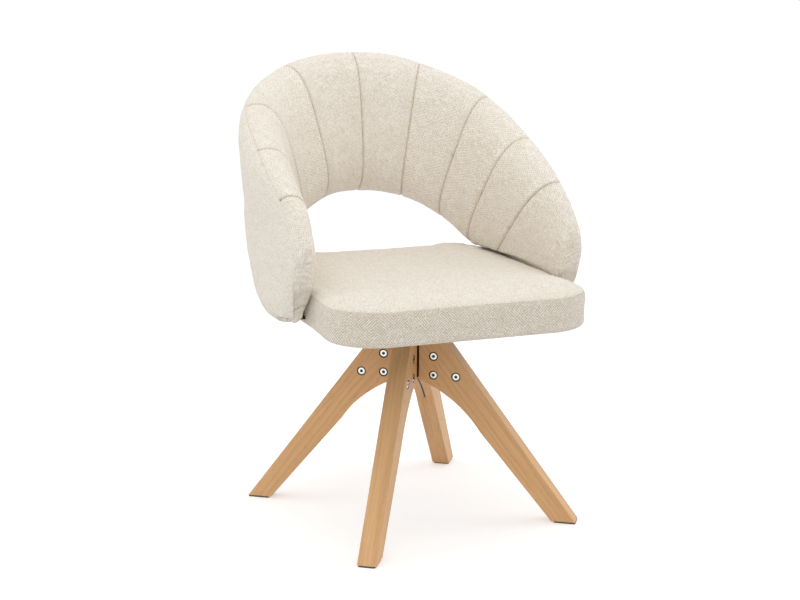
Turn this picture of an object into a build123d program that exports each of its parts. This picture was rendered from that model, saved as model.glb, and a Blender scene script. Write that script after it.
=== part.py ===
"""Swivel dining chair: an upholstered seat and hoop back that turn on four oak legs.

The origin is on the swivel axis at the floor. The seat faces -Y and +Z is up. Lengths are in millimetres.
"""
import math
import os

from build123d import *

# ---- making -----------------------------------------------------------------------------------------
PAST = 1.0                  # a cutter reaches this far past the face it opens
NEAR = 0.01                 # two places closer than this are the same
LAP = 0.5                   # two parts of one solid run this far into each other

# ---- legs -------------------------------------------------------------------------------------------
LEG_TURN = -35.4            # angle of the front right leg about the swivel axis, degrees from +X
LEG_COUNT = 4
LEG_THICK = 35.0
LEG_TOP = 371.0
FOOT_OUTER_R = 323.0        # where the outer edge line meets the floor
FOOT_INNER_R = 278.0        # where the inner edge line meets the floor
TOP_OUTER_R = 45.3          # where the outer edge line meets the leg's top
KNEE_R = 138.0              # the straight inner edge ends here and the arch begins
KNEE_DROP = 205.0           # drops are measured down from the leg's top
HEEL_PLAY = 1.0             # from the hub tube to the leg's upright end
HEEL_DROP = 111.0
ARCH_R, ARCH_DROP = 84.0, 147.0     # a point on the arch between knee and heel
LEG_EASE = 1.5              # rounding of the long edges

# ---- glides -----------------------------------------------------------------------------------------
GLIDE_THICK = 3.0
GLIDE_INSET = 2.0
GLIDE_CORNER = 3.0
NAIL_R = 1.25
NAIL_DEPTH = 12.0
NAIL_PLAY = 0.1
NAIL_END_PLAY = 0.5

# ---- hub --------------------------------------------------------------------------------------------
TUBE_R = 19.0
TUBE_WALL = 3.0
TUBE_DROP = 109.0
FIN_THICK = 3.0
FIN_PLAY = 0.2              # each side of a fin in its slot
FIN_END_PLAY = 0.5          # between the fin's outer edges and its slot
SLOT_REACH = 12.0           # the slot runs this far past the leg's under edge
FIN_EDGE = 12.5             # radial distance from the fin to the leg's outer edge
FIN_TURN = 40.0             # the fin's outer end meets its long edge this far above its corner
FIN_END = ((124.0, 184.0), (136.0, 173.0))      # (radius, drop) of the fin's outer end
FIN_UNDER = ((60.0, 128.0), (92.0, 152.0))      # (radius, drop) along its under edge
PLATE_SIDE = 130.0          # hub flange and lower swivel plate
PLATE_CORNER = 10.0
FLANGE_THICK = 4.0

# ---- leg bolts --------------------------------------------------------------------------------------
BOLT_SPOTS = ((48.0, 65.0), (48.0, 101.0), (91.0, 102.0))      # (radius, drop)
BOLT_HEAD_R = 6.75
BOLT_HEAD_H = 2.5
BOLT_HEAD_ROUND = 0.8
BOLT_SHANK_R = 3.0
SLEEVE_R = 4.0
SLEEVE_END = 8.0            # end of the sleeve past the middle of the leg
SLEEVE_FLOOR = 3.5          # solid length of the sleeve under its head
THREAD_PLAY = 0.1
SOCKET_ACROSS = 5.0
SOCKET_DEPTH = 1.8
COUNTERBORE_R = 8.5
COUNTERBORE_DEPTH = 3.0
BOLT_HOLE_PLAY = 0.2

# ---- swivel -----------------------------------------------------------------------------------------
SWIVEL_PLATE_THICK = 3.0
UPPER_PLATE_SIDE = 170.0
RACE_R = 55.0               # pitch radius of the balls
RACE_HALF_WIDTH = 9.0
RACE_H = 4.5
BALL_R = 5.0
BALL_COUNT = 24
BALL_PLAY = 0.1
RACE_GAP = 7.0
CAGE_THICK = 3.0
CAGE_HALF_WIDTH = 7.0
CAGE_PLAY = 0.15
FLANGE_SCREW_AT = 54.0
SEAT_SCREW_AT = 74.0

# ---- pivot ------------------------------------------------------------------------------------------
PIVOT_R = 6.0
PIVOT_HEAD_ACROSS = 19.0
PIVOT_HEAD_H = 7.5
PIVOT_FIT = 0.05            # radial running clearance in the bush
BUSH_WALL = 2.0
BUSH_FLANGE_R = 10.0
BUSH_FLANGE_H = 1.0
WASHER_R = 12.0
WASHER_H = 2.5
NUT_H = 10.0
NUT_ACROSS = 19.0
PIVOT_END = 1.0             # bolt end above the nut

# ---- seat -------------------------------------------------------------------------------------------
SEAT_HALF = 236.0
SEAT_FRONT = -298.0
SEAT_REAR = 234.0
SEAT_FRONT_CORNER = 95.0
SEAT_REAR_CORNER = 90.0
SEAT_FLARE = 12.0           # how much each side runs outward from here to the front
SEAT_FLARE_FROM = -120.0
SEAT_SIDE_ROUND = 300.0     # where the flare begins
SEAT_THICK = 75.0           # from the board's bottom to the top of the cushion
SEAT_EDGE_ROUND = 18.0
SEAT_BOTTOM_ROUND = 10.0
COVER_THICK = 1.5
BOARD_THICK = 12.0
BOARD_INSET = 0.2           # between the cover and what it wraps
COVER_RETURN = 32.0
PIVOT_POCKET_R = 22.0
PIVOT_POCKET_H = 5.0
DUST_THICK = 0.8
DUST_MARGIN = 14.0
DUST_WINDOW_R = 128.0

# ---- screws into the seat board -----------------------------------------------------------------------
M8_R = 4.0
M8_HEAD_R = 7.0
M8_HEAD_H = 5.0
M6_R = 3.0
M6_HEAD_R = 6.0
M6_HEAD_H = 4.5
M6_NUT_ACROSS = 10.0
M6_NUT_H = 5.0
FLANGE_HEAD_H = 3.5
FLANGE_SCREW_END = 7.0      # how far a flange screw reaches below the legs' top
TEE_R = 5.2
TEE_SHORT = 1.0             # the tee nut's barrel ends this far above the board's bottom
TEE_FLANGE_R = 9.0
TEE_FLANGE_H = 1.5
TEE_PLAY = 0.3
SEAT_SCREW_END = 1.0        # screw end above the board
SCREW_PLAY = 0.2
HEAD_HOLE_PLAY = 1.0
HEAD_SINK = 0.5             # a bracket bolt's head lies this far above the board's bottom

# ---- wing brackets ------------------------------------------------------------------------------------
BRACKET_THICK = 4.0
BRACKET_WIDTH = 30.0
BRACKET_INNER_X = 150.0
BRACKET_STAND = 15.0        # from the seat's side to the outer face of the upright
BRACKET_RISE = 85.0         # top of the upright above the board's bottom
BRACKET_Y = (-75.0, 10.0)
BRACKET_BOLT_X = (168.0, 204.0)
POCKET_PLAY = 0.5
RIVET_R = 3.0
RIVET_HEAD_R = 5.0
RIVET_HEAD_H = 2.0
RIVET_RISE = (53.0, 75.0)   # above the board's bottom

# ---- back frame ---------------------------------------------------------------------------------------
WING_PLATE_THICK = 3.0
WING_PLATE_Y = (-138.0, 54.0)
WING_PLATE_RISE = (27.0, 99.0)
WING_PLATE_ROUND = 60.0     # lower corners
FRAME_TUBE_R = 7.0
FRAME_TUBE_WALL = 1.5
FRAME_TUBE_SHIFT = 3.0      # outward from the middle surface
WELD_GAP = 0.2              # from a frame tube to the wing plate that carries it
RIM_TUBE_INSET = 40.0
ARCH_TUBE_INSET = 44.0
RIM_TUBE_END = 5.8          # station where the rim tube ends on the wing plate
ARCH_TUBE_END = 5.0
TUBE_POINTS = 2             # points of a tube's line for each station
TURN_FROM = 3.5             # station where the tubes begin to turn to the wing plates
TURN_OVER = 1.2             # stations that the turn takes
STRUT_R = 4.0
STRUT_STATIONS = (-3.0, -1.5, 0.0, 1.5, 3.0)

# ---- hoop back: crest lines by station, right side, from the middle of the back to the wing tip. Each point
# ---- is x outward from the seat's side line, y, and the rise above the board's bottom ----------------------
RIM = ((-236, 335, 453), (-111, 326, 436), (-7, 227, 384), (22, 66, 306), (21, -88, 229), (20, -166, 152),
       (20, -154, 84), (18, -113, 25))
ARCH = ((-236, 297, 173), (-161, 279, 165), (-86, 243, 130), (-18, 195, 73), (16, 126, 28), (28, 39, 3),
        (26, -42, 0), (20, -88, 8))
PAD_INNER = (60, 60, 54, 54, 46, 34, 25, 12)        # padding inward of the middle surface
PAD_OUTER = (38, 45, 52, 46, 33, 29, 25, 13)        # padding outward of it
SECTION_SQUARE = 3.4        # exponents of the rounded section
SECTION_ROUND = 2.2
SECTION_POINTS = 20
STATION_STEP = 0.5
SEAM_END = 6                # the outer cover ends at this station on each side
SEAM_FROM_RIM = 16.0        # its seam, back from the crest
SEAM_FROM_ARCH = 24.0
SEAM_LEAST = 0.3            # but never nearer the middle than this share of the half height
SEAM_DEPTH = 0.3            # the outer cover reaches in to this share of the padding
ROOM_PAST = 20.0            # the rooms used to cut the covers reach this far past them
SEAT_GAP = 0.4              # between the wings and the seat

# ---- levels worked out from the sizes above -------------------------------------------------------------
FLANGE_TOP = LEG_TOP + FLANGE_THICK
LOWER_PLATE_TOP = FLANGE_TOP + SWIVEL_PLATE_THICK
LOWER_RACE_TOP = LOWER_PLATE_TOP + RACE_H
BALL_Z = LOWER_RACE_TOP + RACE_GAP / 2
UPPER_RACE_BOTTOM = LOWER_RACE_TOP + RACE_GAP
UPPER_PLATE_BOTTOM = UPPER_RACE_BOTTOM + RACE_H
BOARD_BOTTOM = UPPER_PLATE_BOTTOM + SWIVEL_PLATE_THICK
BOARD_TOP = BOARD_BOTTOM + BOARD_THICK
WASHER_BOTTOM = BOARD_BOTTOM + BUSH_FLANGE_H + PIVOT_FIT
NUT_BOTTOM = WASHER_BOTTOM + WASHER_H
PIVOT_TOP = NUT_BOTTOM + NUT_H + PIVOT_END
BRACKET_HEAD_TOP = BOARD_BOTTOM + HEAD_SINK + M6_HEAD_H
HALF_LEG = LEG_THICK / 2
HEEL_R = TUBE_R + HEEL_PLAY
TUBE_BOTTOM = LEG_TOP - TUBE_DROP
SEAT_TOP = BOARD_BOTTOM + SEAT_THICK
BRACKET_FACE_X = SEAT_HALF + BRACKET_STAND
BRACKET_TOP = BOARD_BOTTOM + BRACKET_RISE
RIVET_Z = [BOARD_BOTTOM + rise for rise in RIVET_RISE]
WING_PLATE_Z = [BOARD_BOTTOM + rise for rise in WING_PLATE_RISE]
CORNERS = ("front_right", "rear_right", "rear_left", "front_left")
LAST = len(RIM) - 1


def save(name, *solids):
    """Write one node: a single solid, or a group of separate solids."""
    shape = solids[0] if len(solids) == 1 else Compound(label=name, children=list(solids))
    shape.label = name
    export_step(shape, f"parts/{name}.step")


def rod(radius, bottom, top):
    """Return an upright cylinder about the origin between two heights."""
    return Pos(0, 0, bottom) * Cylinder(radius, top - bottom, align=(Align.CENTER, Align.CENTER, Align.MIN))


def ring(outer, inner, bottom, top):
    """Return an upright ring about the origin."""
    return rod(outer, bottom, top) - rod(inner, bottom - PAST, top + PAST)


def hexagon_rod(across, bottom, top):
    """Return an upright hexagonal bar, measured across its flats."""
    profile = RegularPolygon(across / 2, 6, major_radius=False)
    return Pos(0, 0, bottom) * extrude(profile, top - bottom)


def slab(x_range, y_range, z_range):
    """Return a box between two values on each axis."""
    size = [high - low for low, high in (x_range, y_range, z_range)]
    middle = [(high + low) / 2 for low, high in (x_range, y_range, z_range)]
    return Pos(*middle) * Box(*size)


def round_plate(side, bottom, top):
    """Return a square plate with rounded corners about the origin."""
    return Pos(0, 0, bottom) * extrude(RectangleRounded(side, side, PLATE_CORNER), top - bottom)


def square_spots(reach):
    """Return the four places (x, y) at plus and minus reach."""
    return [(x, y) for x in (-reach, reach) for y in (-reach, reach)]


def to_corner(index, solid):
    """Turn a solid modelled along +X to the leg with this index."""
    return Rot(0, 0, LEG_TURN + index * 360 / LEG_COUNT) * solid


def across_leg(solid, spot):
    """Lay an upright solid across the leg's thickness, at a place (radius, drop)."""
    return Pos(spot[0], 0, LEG_TOP - spot[1]) * Rot(90, 0, 0) * solid


# ---- base: legs, glides, hub ------------------------------------------------------------------------
def outer_edge_r(z):
    """Return the radius of the leg's outer edge at a height."""
    return FOOT_OUTER_R - z * (FOOT_OUTER_R - TOP_OUTER_R) / LEG_TOP


def inner_edge_r(z):
    """Return the radius of the leg's straight inner edge at a height."""
    return FOOT_INNER_R - z * (FOOT_INNER_R - KNEE_R) / (LEG_TOP - KNEE_DROP)


def leg_blank():
    """Return the leg's outline as a plank of full thickness, along +X."""
    foot_in = (inner_edge_r(GLIDE_THICK), GLIDE_THICK)
    foot_out = (outer_edge_r(GLIDE_THICK), GLIDE_THICK)
    top_out = (outer_edge_r(LEG_TOP), LEG_TOP)
    top_in = (HEEL_R, LEG_TOP)
    heel = (HEEL_R, LEG_TOP - HEEL_DROP)
    knee = (KNEE_R, LEG_TOP - KNEE_DROP)
    with BuildSketch(Plane.XZ) as outline:
        with BuildLine():
            Polyline(knee, foot_in, foot_out, top_out, top_in, heel)
            ThreePointArc(heel, (ARCH_R, LEG_TOP - ARCH_DROP), knee)
        make_face()
    plank = extrude(outline.sketch, HALF_LEG, both=True)
    rims = [edge for edge in plank.edges() if abs(abs(edge.center().Y) - HALF_LEG) < NEAR]
    return fillet([edge for edge in rims if edge.center().Z < LEG_TOP - NEAR], LEG_EASE)


def fin_outline(play=0.0, reach=0.0):
    """Return the fin's corner points; play widens it outward, reach carries it past the leg's under edge."""
    under = [(r, LEG_TOP - drop) for r, drop in FIN_UNDER]
    foot_in, foot_out = [(r, LEG_TOP - drop) for r, drop in FIN_END]
    low = [(TUBE_R - reach, TUBE_BOTTOM - reach)]
    low += [(r - reach, z - reach) for r, z in under]
    end = [(foot_in[0] - reach + play, foot_in[1] - reach - play), (foot_out[0] + play, foot_out[1] - play)]
    high = [(outer_edge_r(z) - FIN_EDGE + play, z) for z in (foot_out[1] + FIN_TURN, LEG_TOP + reach)]
    return low + end + high + [(TUBE_R - reach, LEG_TOP + reach)]


def fin_prism(thick, play=0.0, reach=0.0):
    """Return the fin, or its slot, as an upright plate along +X."""
    points = fin_outline(play, reach)
    with BuildSketch(Plane.XZ) as outline:
        with BuildLine():
            Polyline(*points, close=True)
        make_face()
    return extrude(outline.sketch, thick / 2, both=True)


def leg():
    """Return one leg with its slot, bolt holes and nail hole."""
    body = leg_blank() - fin_prism(FIN_THICK + 2 * FIN_PLAY, FIN_END_PLAY, SLOT_REACH)
    for spot in BOLT_SPOTS:
        body -= across_leg(rod(SLEEVE_R + BOLT_HOLE_PLAY, -HALF_LEG, HALF_LEG), spot)
        sink = rod(COUNTERBORE_R, HALF_LEG - COUNTERBORE_DEPTH, HALF_LEG + PAST)
        body -= across_leg(sink, spot)
        body -= across_leg(Rot(180, 0, 0) * sink, spot)
    nail_r = (inner_edge_r(0) + outer_edge_r(0)) / 2
    return body - Pos(nail_r, 0, 0) * rod(NAIL_R + NAIL_PLAY, 0, GLIDE_THICK + NAIL_DEPTH + NAIL_END_PLAY)


def glide():
    """Return the pad under a foot, with its nail."""
    inner = FOOT_INNER_R + GLIDE_INSET
    outer = FOOT_OUTER_R - GLIDE_INSET
    half = HALF_LEG - GLIDE_INSET
    pad = fillet(slab((inner, outer), (-half, half), (0, GLIDE_THICK)).edges().filter_by(Axis.Z), GLIDE_CORNER)
    nail_r = (inner_edge_r(0) + outer_edge_r(0)) / 2
    return pad + Pos(nail_r, 0, 0) * rod(NAIL_R, GLIDE_THICK / 2, GLIDE_THICK + NAIL_DEPTH)


def hub_fin():
    """Return one fin with holes for the sleeve nuts."""
    fin = fin_prism(FIN_THICK)
    for spot in BOLT_SPOTS:
        fin -= across_leg(rod(SLEEVE_R + BOLT_HOLE_PLAY, -HALF_LEG, HALF_LEG), spot)
    return fin


def leg_bolt():
    """Return a connector bolt, upright, its head at the top of the leg's thickness."""
    seat = HALF_LEG - COUNTERBORE_DEPTH
    head = rod(BOLT_HEAD_R, seat, seat + BOLT_HEAD_H)
    head = fillet(head.edges().group_by(Axis.Z)[-1], BOLT_HEAD_ROUND)
    socket = hexagon_rod(SOCKET_ACROSS, seat + BOLT_HEAD_H - SOCKET_DEPTH, seat + BOLT_HEAD_H + PAST)
    return head + rod(BOLT_SHANK_R, -SLEEVE_END, seat + LAP) - socket


def sleeve_nut():
    """Return a sleeve nut, upright, its head at the bottom of the leg's thickness."""
    seat = HALF_LEG - COUNTERBORE_DEPTH
    head = rod(BOLT_HEAD_R, seat, seat + BOLT_HEAD_H)
    head = fillet(head.edges().group_by(Axis.Z)[-1], BOLT_HEAD_ROUND)
    socket = hexagon_rod(SOCKET_ACROSS, seat + BOLT_HEAD_H - SOCKET_DEPTH, seat + BOLT_HEAD_H + PAST)
    barrel = rod(SLEEVE_R, -SLEEVE_END, seat + LAP)
    bore = rod(BOLT_SHANK_R + THREAD_PLAY, -SLEEVE_END - PAST, seat - SLEEVE_FLOOR)
    return Rot(180, 0, 0) * (head + barrel - socket - bore)


def hub_tube():
    """Return the upright tube between the legs."""
    return ring(TUBE_R, TUBE_R - TUBE_WALL, TUBE_BOTTOM, LEG_TOP)


def holed_plate(side, bottom, top, hole_at, hole_r, bore_r):
    """Return a square plate with a centre bore and four screw holes."""
    plate = round_plate(side, bottom, top) - rod(bore_r, bottom - PAST, top + PAST)
    for x, y in square_spots(hole_at):
        plate -= Pos(x, y, 0) * rod(hole_r, bottom - PAST, top + PAST)
    return plate


# ---- swivel -----------------------------------------------------------------------------------------
def race(bottom, top):
    """Return a race ring with its ball groove."""
    outer, inner = RACE_R + RACE_HALF_WIDTH, RACE_R - RACE_HALF_WIDTH
    return ring(outer, inner, bottom, top) - Pos(0, 0, BALL_Z) * Torus(RACE_R, BALL_R + BALL_PLAY)


def ball_cage():
    """Return the flat ring that keeps the balls apart."""
    low, high = BALL_Z - CAGE_THICK / 2, BALL_Z + CAGE_THICK / 2
    cage = ring(RACE_R + CAGE_HALF_WIDTH, RACE_R - CAGE_HALF_WIDTH, low, high)
    for index in range(BALL_COUNT):
        turn = Rot(0, 0, index * 360 / BALL_COUNT)
        cage -= turn * Pos(RACE_R, 0, 0) * rod(BALL_R + CAGE_PLAY, low - PAST, high + PAST)
    return cage


def balls():
    """Return the balls of the race."""
    spots = [Rot(0, 0, index * 360 / BALL_COUNT) * Pos(RACE_R, 0, BALL_Z) for index in range(BALL_COUNT)]
    return [spot * Sphere(BALL_R) for spot in spots]


def pivot_bolt():
    """Return the bolt on the swivel axis, its head inside the hub tube."""
    return hexagon_rod(PIVOT_HEAD_ACROSS, LEG_TOP - PIVOT_HEAD_H, LEG_TOP) + rod(PIVOT_R, LEG_TOP, PIVOT_TOP)


def pivot_bush():
    """Return the flanged bush pressed into the upper swivel plate."""
    sleeve = rod(PIVOT_R + BUSH_WALL, UPPER_PLATE_BOTTOM, BOARD_BOTTOM)
    collar = rod(BUSH_FLANGE_R, BOARD_BOTTOM, BOARD_BOTTOM + BUSH_FLANGE_H)
    return sleeve + collar - rod(PIVOT_R + PIVOT_FIT, UPPER_PLATE_BOTTOM - PAST, WASHER_BOTTOM)


def screw(radius, head_r, head_h, under_head, top):
    """Return an upright screw with its head below, and a hexagonal socket in the head."""
    body = rod(head_r, under_head - head_h, under_head) + rod(radius, under_head, top)
    return body - hexagon_rod(radius, under_head - head_h - PAST, under_head - head_h / 2)


def tee_nut():
    """Return a tee nut for the seat board, its flange on the board's top."""
    barrel = ring(TEE_R, M8_R + THREAD_PLAY, BOARD_BOTTOM + TEE_SHORT, BOARD_TOP)
    collar = ring(TEE_FLANGE_R, M8_R + THREAD_PLAY, BOARD_TOP, BOARD_TOP + TEE_FLANGE_H)
    return barrel + collar


# ---- seat -------------------------------------------------------------------------------------------
def seat_prism(inset, bottom, top):
    """Return the seat's rounded outline, drawn in by an inset, between two heights."""
    half, front, rear = SEAT_HALF - inset, SEAT_FRONT + inset, SEAT_REAR - inset
    right = [(half + SEAT_FLARE, front), (half, SEAT_FLARE_FROM), (half, rear)]
    with BuildSketch() as outline:
        with BuildLine():
            Polyline(*right, *((-x, y) for x, y in reversed(right)), close=True)
        make_face()
    shape = outline.sketch
    for level, radius in ((front, SEAT_FRONT_CORNER - inset), (SEAT_FLARE_FROM, SEAT_SIDE_ROUND),
                          (rear, SEAT_REAR_CORNER - inset)):
        shape = fillet([corner for corner in shape.vertices() if abs(corner.Y - level) < NEAR], radius)
    return Pos(0, 0, bottom) * extrude(shape, top - bottom)


def seat_block(inset, bottom, top, top_round, bottom_round=0.0):
    """Return a seat prism with its upper edge, and if asked its lower edge, rounded."""
    solid = seat_prism(inset, bottom, top)
    solid = fillet(solid.edges().group_by(Axis.Z)[-1], top_round)
    if bottom_round > 0:
        solid = fillet(solid.edges().group_by(Axis.Z)[0], bottom_round)
    return solid


def bracket_box(side, y, play=0.0):
    """Return the room of one bracket's two legs, widened by a play."""
    low, high = y - BRACKET_WIDTH / 2 - play, y + BRACKET_WIDTH / 2 + play
    reach_in, face = BRACKET_INNER_X - play, BRACKET_FACE_X + play
    flat = slab((reach_in, face), (low, high), (BOARD_TOP - play, BOARD_TOP + BRACKET_THICK + play))
    upright = slab((face - BRACKET_THICK - 2 * play, face), (low, high), (BOARD_TOP - play, BRACKET_TOP + play))
    both = flat + upright
    return both if side > 0 else both.mirror(Plane.YZ)


def bracket_spots(side):
    """Return the places (x, y) of one side's bracket bolts."""
    return [(side * x, y) for y in BRACKET_Y for x in BRACKET_BOLT_X]


def rivet_spots():
    """Return the places (y, z) of the rivets through one side's brackets."""
    return [(y, z) for y in BRACKET_Y for z in RIVET_Z]


def wing_rivet(side, y, z, play=0.0):
    """Return a rivet through a bracket and its wing plate, or its room."""
    inner, outer = BRACKET_FACE_X - BRACKET_THICK, BRACKET_FACE_X + WING_PLATE_THICK
    head = RIVET_HEAD_R + play
    body = rod(RIVET_R, inner, outer) + rod(head, inner - RIVET_HEAD_H - play, inner)
    body += rod(head, outer, outer + RIVET_HEAD_H + play)
    return Pos(0, y, z) * Rot(0, 90 * side, 0) * body


def wing_bracket(side, y):
    """Return one bracket with holes for its bolts and rivets."""
    body = bracket_box(side, y)
    nut_bottom = BOARD_TOP + BRACKET_THICK
    for x, spot_y in bracket_spots(side):
        if spot_y == y:
            body -= Pos(x, y, 0) * rod(M6_R + SCREW_PLAY, BOARD_TOP - PAST, nut_bottom + PAST)
    inner = BRACKET_FACE_X - BRACKET_THICK
    for spot_y, z in rivet_spots():
        if spot_y == y:
            body -= Pos(0, y, z) * Rot(0, 90 * side, 0) * rod(RIVET_R, inner - PAST, BRACKET_FACE_X + PAST)
    return body


def wing_plate(side, play=0.0, holes=True):
    """Return the steel plate inside a wing that carries the frame tubes."""
    x_range = sorted((side * (BRACKET_FACE_X - play), side * (BRACKET_FACE_X + WING_PLATE_THICK + play)))
    y_range = (WING_PLATE_Y[0] - play, WING_PLATE_Y[1] + play)
    plate = slab(x_range, y_range, (WING_PLATE_Z[0] - play, WING_PLATE_Z[1] + play))
    low_corners = [edge for edge in plate.edges().filter_by(Axis.X) if edge.center().Z < WING_PLATE_Z[0] + NEAR]
    plate = fillet(low_corners, WING_PLATE_ROUND)
    for y, z in rivet_spots() if holes else ():
        hole = rod(RIVET_R, BRACKET_FACE_X - PAST, BRACKET_FACE_X + WING_PLATE_THICK + PAST)
        plate -= Pos(0, y, z) * Rot(0, 90 * side, 0) * hole
    return plate


def seat_board():
    """Return the plywood board with its pivot hole and screw holes."""
    board = seat_prism(COVER_THICK + BOARD_INSET, BOARD_BOTTOM, BOARD_TOP)
    board = fillet(board.edges().group_by(Axis.Z)[0], SEAT_BOTTOM_ROUND - COVER_THICK)
    board -= rod(PIVOT_POCKET_R, BOARD_BOTTOM - PAST, BOARD_TOP + PAST)
    for x, y in square_spots(SEAT_SCREW_AT):
        board -= Pos(x, y, 0) * rod(TEE_R, BOARD_BOTTOM - PAST, BOARD_TOP + PAST)
    for x, y in bracket_spots(1) + bracket_spots(-1):
        board -= Pos(x, y, 0) * rod(M6_R + SCREW_PLAY, BOARD_BOTTOM - PAST, BOARD_TOP + PAST)
        board -= Pos(x, y, 0) * rod(M6_HEAD_R + HEAD_HOLE_PLAY, BOARD_BOTTOM - PAST, BRACKET_HEAD_TOP)
    return board


def seat_foam():
    """Return the seat foam with room for the pivot, tee nuts and brackets."""
    inset = COVER_THICK + BOARD_INSET
    foam = seat_block(inset, BOARD_TOP, SEAT_TOP - inset, SEAT_EDGE_ROUND - inset)
    foam -= rod(PIVOT_POCKET_R, BOARD_TOP - PAST, BOARD_TOP + PIVOT_POCKET_H)
    for x, y in square_spots(SEAT_SCREW_AT):
        foam -= Pos(x, y, 0) * rod(TEE_FLANGE_R + TEE_PLAY, BOARD_TOP - PAST, BOARD_TOP + TEE_FLANGE_H + TEE_PLAY)
    for side in (1, -1):
        for y in BRACKET_Y:
            foam -= bracket_box(side, y, POCKET_PLAY)
        for x, y in bracket_spots(side):
            top = BOARD_TOP + BRACKET_THICK + M6_NUT_H + HEAD_HOLE_PLAY
            foam -= Pos(x, y, 0) * rod(M6_HEAD_R + HEAD_HOLE_PLAY, BOARD_TOP + BRACKET_THICK, top)
    return foam


def seat_cover():
    """Return the seat's fabric: top, border and the strip turned in under the board."""
    bottom = BOARD_BOTTOM - COVER_THICK
    skin = seat_block(0.0, bottom, SEAT_TOP, SEAT_EDGE_ROUND, SEAT_BOTTOM_ROUND)
    inside = seat_block(COVER_THICK, BOARD_BOTTOM, SEAT_TOP - COVER_THICK, SEAT_EDGE_ROUND - COVER_THICK,
                        SEAT_BOTTOM_ROUND - COVER_THICK)
    skin -= inside
    skin -= seat_prism(COVER_RETURN, bottom - PAST, BOARD_BOTTOM + PAST)
    for side in (1, -1):
        for y in BRACKET_Y:
            skin -= bracket_box(side, y, POCKET_PLAY)
    return skin


def dust_cover():
    """Return the black cloth under the seat, with a window for the swivel and bolt holes."""
    top = BOARD_BOTTOM - COVER_THICK
    cloth = seat_prism(DUST_MARGIN, top - DUST_THICK, top) - rod(DUST_WINDOW_R, top - DUST_THICK - PAST, top + PAST)
    for x, y in bracket_spots(1) + bracket_spots(-1):
        cloth -= Pos(x, y, 0) * rod(M6_HEAD_R + HEAD_HOLE_PLAY, top - DUST_THICK - PAST, top + PAST)
    return cloth


# ---- hoop back ----------------------------------------------------------------------------------------
def mirrored(points):
    """Return a crest line's points from the left tip to the right tip, in the chair's own frame."""
    right = [(SEAT_HALF + out, y, BOARD_BOTTOM + rise) for out, y, rise in points]
    right[0] = (0.0, right[0][1], right[0][2])
    return [(-x, y, z) for x, y, z in reversed(right[1:])] + right


def smooth(points, station):
    """Return the point of a smooth line through points, at a station counted from its middle."""
    place = station + LAST
    index = min(max(math.floor(place), 0), len(points) - 2)
    t = place - index
    before = points[max(index - 1, 0)]
    start, end = points[index], points[index + 1]
    after = points[min(index + 2, len(points) - 1)]
    weights = (-t ** 3 + 2 * t ** 2 - t, 3 * t ** 3 - 5 * t ** 2 + 2, -3 * t ** 3 + 4 * t ** 2 + t, t ** 3 - t ** 2)
    return Vector(*(sum(w * p[axis] for w, p in zip(weights, (before, start, end, after))) / 2
                    for axis in range(3)))


def between(values, station):
    """Return a value that runs straight between the stations' values."""
    place = min(abs(station), LAST - 1e-9)
    index = int(place)
    return values[index] + (values[index + 1] - values[index]) * (place - index)


RIM_LINE = mirrored(RIM)
ARCH_LINE = mirrored(ARCH)


def frame_at(station):
    """Return the section's middle, half height, direction to the rim and direction outward."""
    rim, arch = smooth(RIM_LINE, station), smooth(ARCH_LINE, station)
    step = 0.01
    ahead = smooth(RIM_LINE, station + step) + smooth(ARCH_LINE, station + step)
    behind = smooth(RIM_LINE, station - step) + smooth(ARCH_LINE, station - step)
    up = (rim - arch).normalized()
    outward = up.cross(ahead - behind).normalized()
    return (rim + arch) * 0.5, (rim - arch).length / 2, up, outward


def section_point(station, angle, inset=0.0):
    """Return a point of the padded section's outline."""
    middle, half, up, outward = frame_at(station)
    cosine, sine = math.cos(angle), math.sin(angle)
    thick = between(PAD_OUTER if sine > 0 else PAD_INNER, station) - inset
    along = math.copysign(abs(cosine) ** (2 / SECTION_SQUARE), cosine) * (half - inset)
    across = math.copysign(abs(sine) ** (2 / SECTION_ROUND), sine) * thick
    return middle + up * along + outward * across


def hoop(inset):
    """Return the hoop back's padded shape, drawn in by an inset."""
    wires = []
    count = round(2 * LAST / STATION_STEP)
    for station in (-LAST + STATION_STEP * index for index in range(count + 1)):
        angles = [2 * math.pi * (index + 0.5) / SECTION_POINTS for index in range(SECTION_POINTS)]
        points = [section_point(station, angle, inset) for angle in angles]
        wires.append(Wire([Edge.make_spline(points, periodic=True)]))
    return Solid.make_loft(wires)


def outer_panel_room():
    """Return the room of the outer cover: what lies outside the seam line."""
    wires = []
    for station in range(-SEAM_END, SEAM_END + 1):
        middle, half, up, outward = frame_at(station)
        high = max(half - SEAM_FROM_RIM, half * SEAM_LEAST)
        low = -max(half - SEAM_FROM_ARCH, half * SEAM_LEAST)
        depth = between(PAD_OUTER, station)
        near, far = SEAM_DEPTH * depth, depth + ROOM_PAST
        corners = ((low, near), (high, near), (high, far), (low, far))
        points = [middle + up * along + outward * across for along, across in corners]
        wires.append(Wire([Edge.make_line(points[i], points[(i + 1) % 4]) for i in range(4)]))
    return Solid.make_loft(wires)


def tube_point(station, rim_side):
    """Return the centre of a frame tube: beside the rim, or beside the arch."""
    middle, half, up, outward = frame_at(station)
    along = half - RIM_TUBE_INSET if rim_side else -(half - ARCH_TUBE_INSET)
    point = middle + up * along + outward * FRAME_TUBE_SHIFT
    blend = min(max((abs(station) - TURN_FROM) / TURN_OVER, 0.0), 1.0)
    landing = math.copysign(BRACKET_FACE_X + WING_PLATE_THICK + WELD_GAP + FRAME_TUBE_R, station)
    x = point.X + (landing - point.X) * blend * blend * (3 - 2 * blend)
    return Vector(x, point.Y, point.Z)


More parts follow.
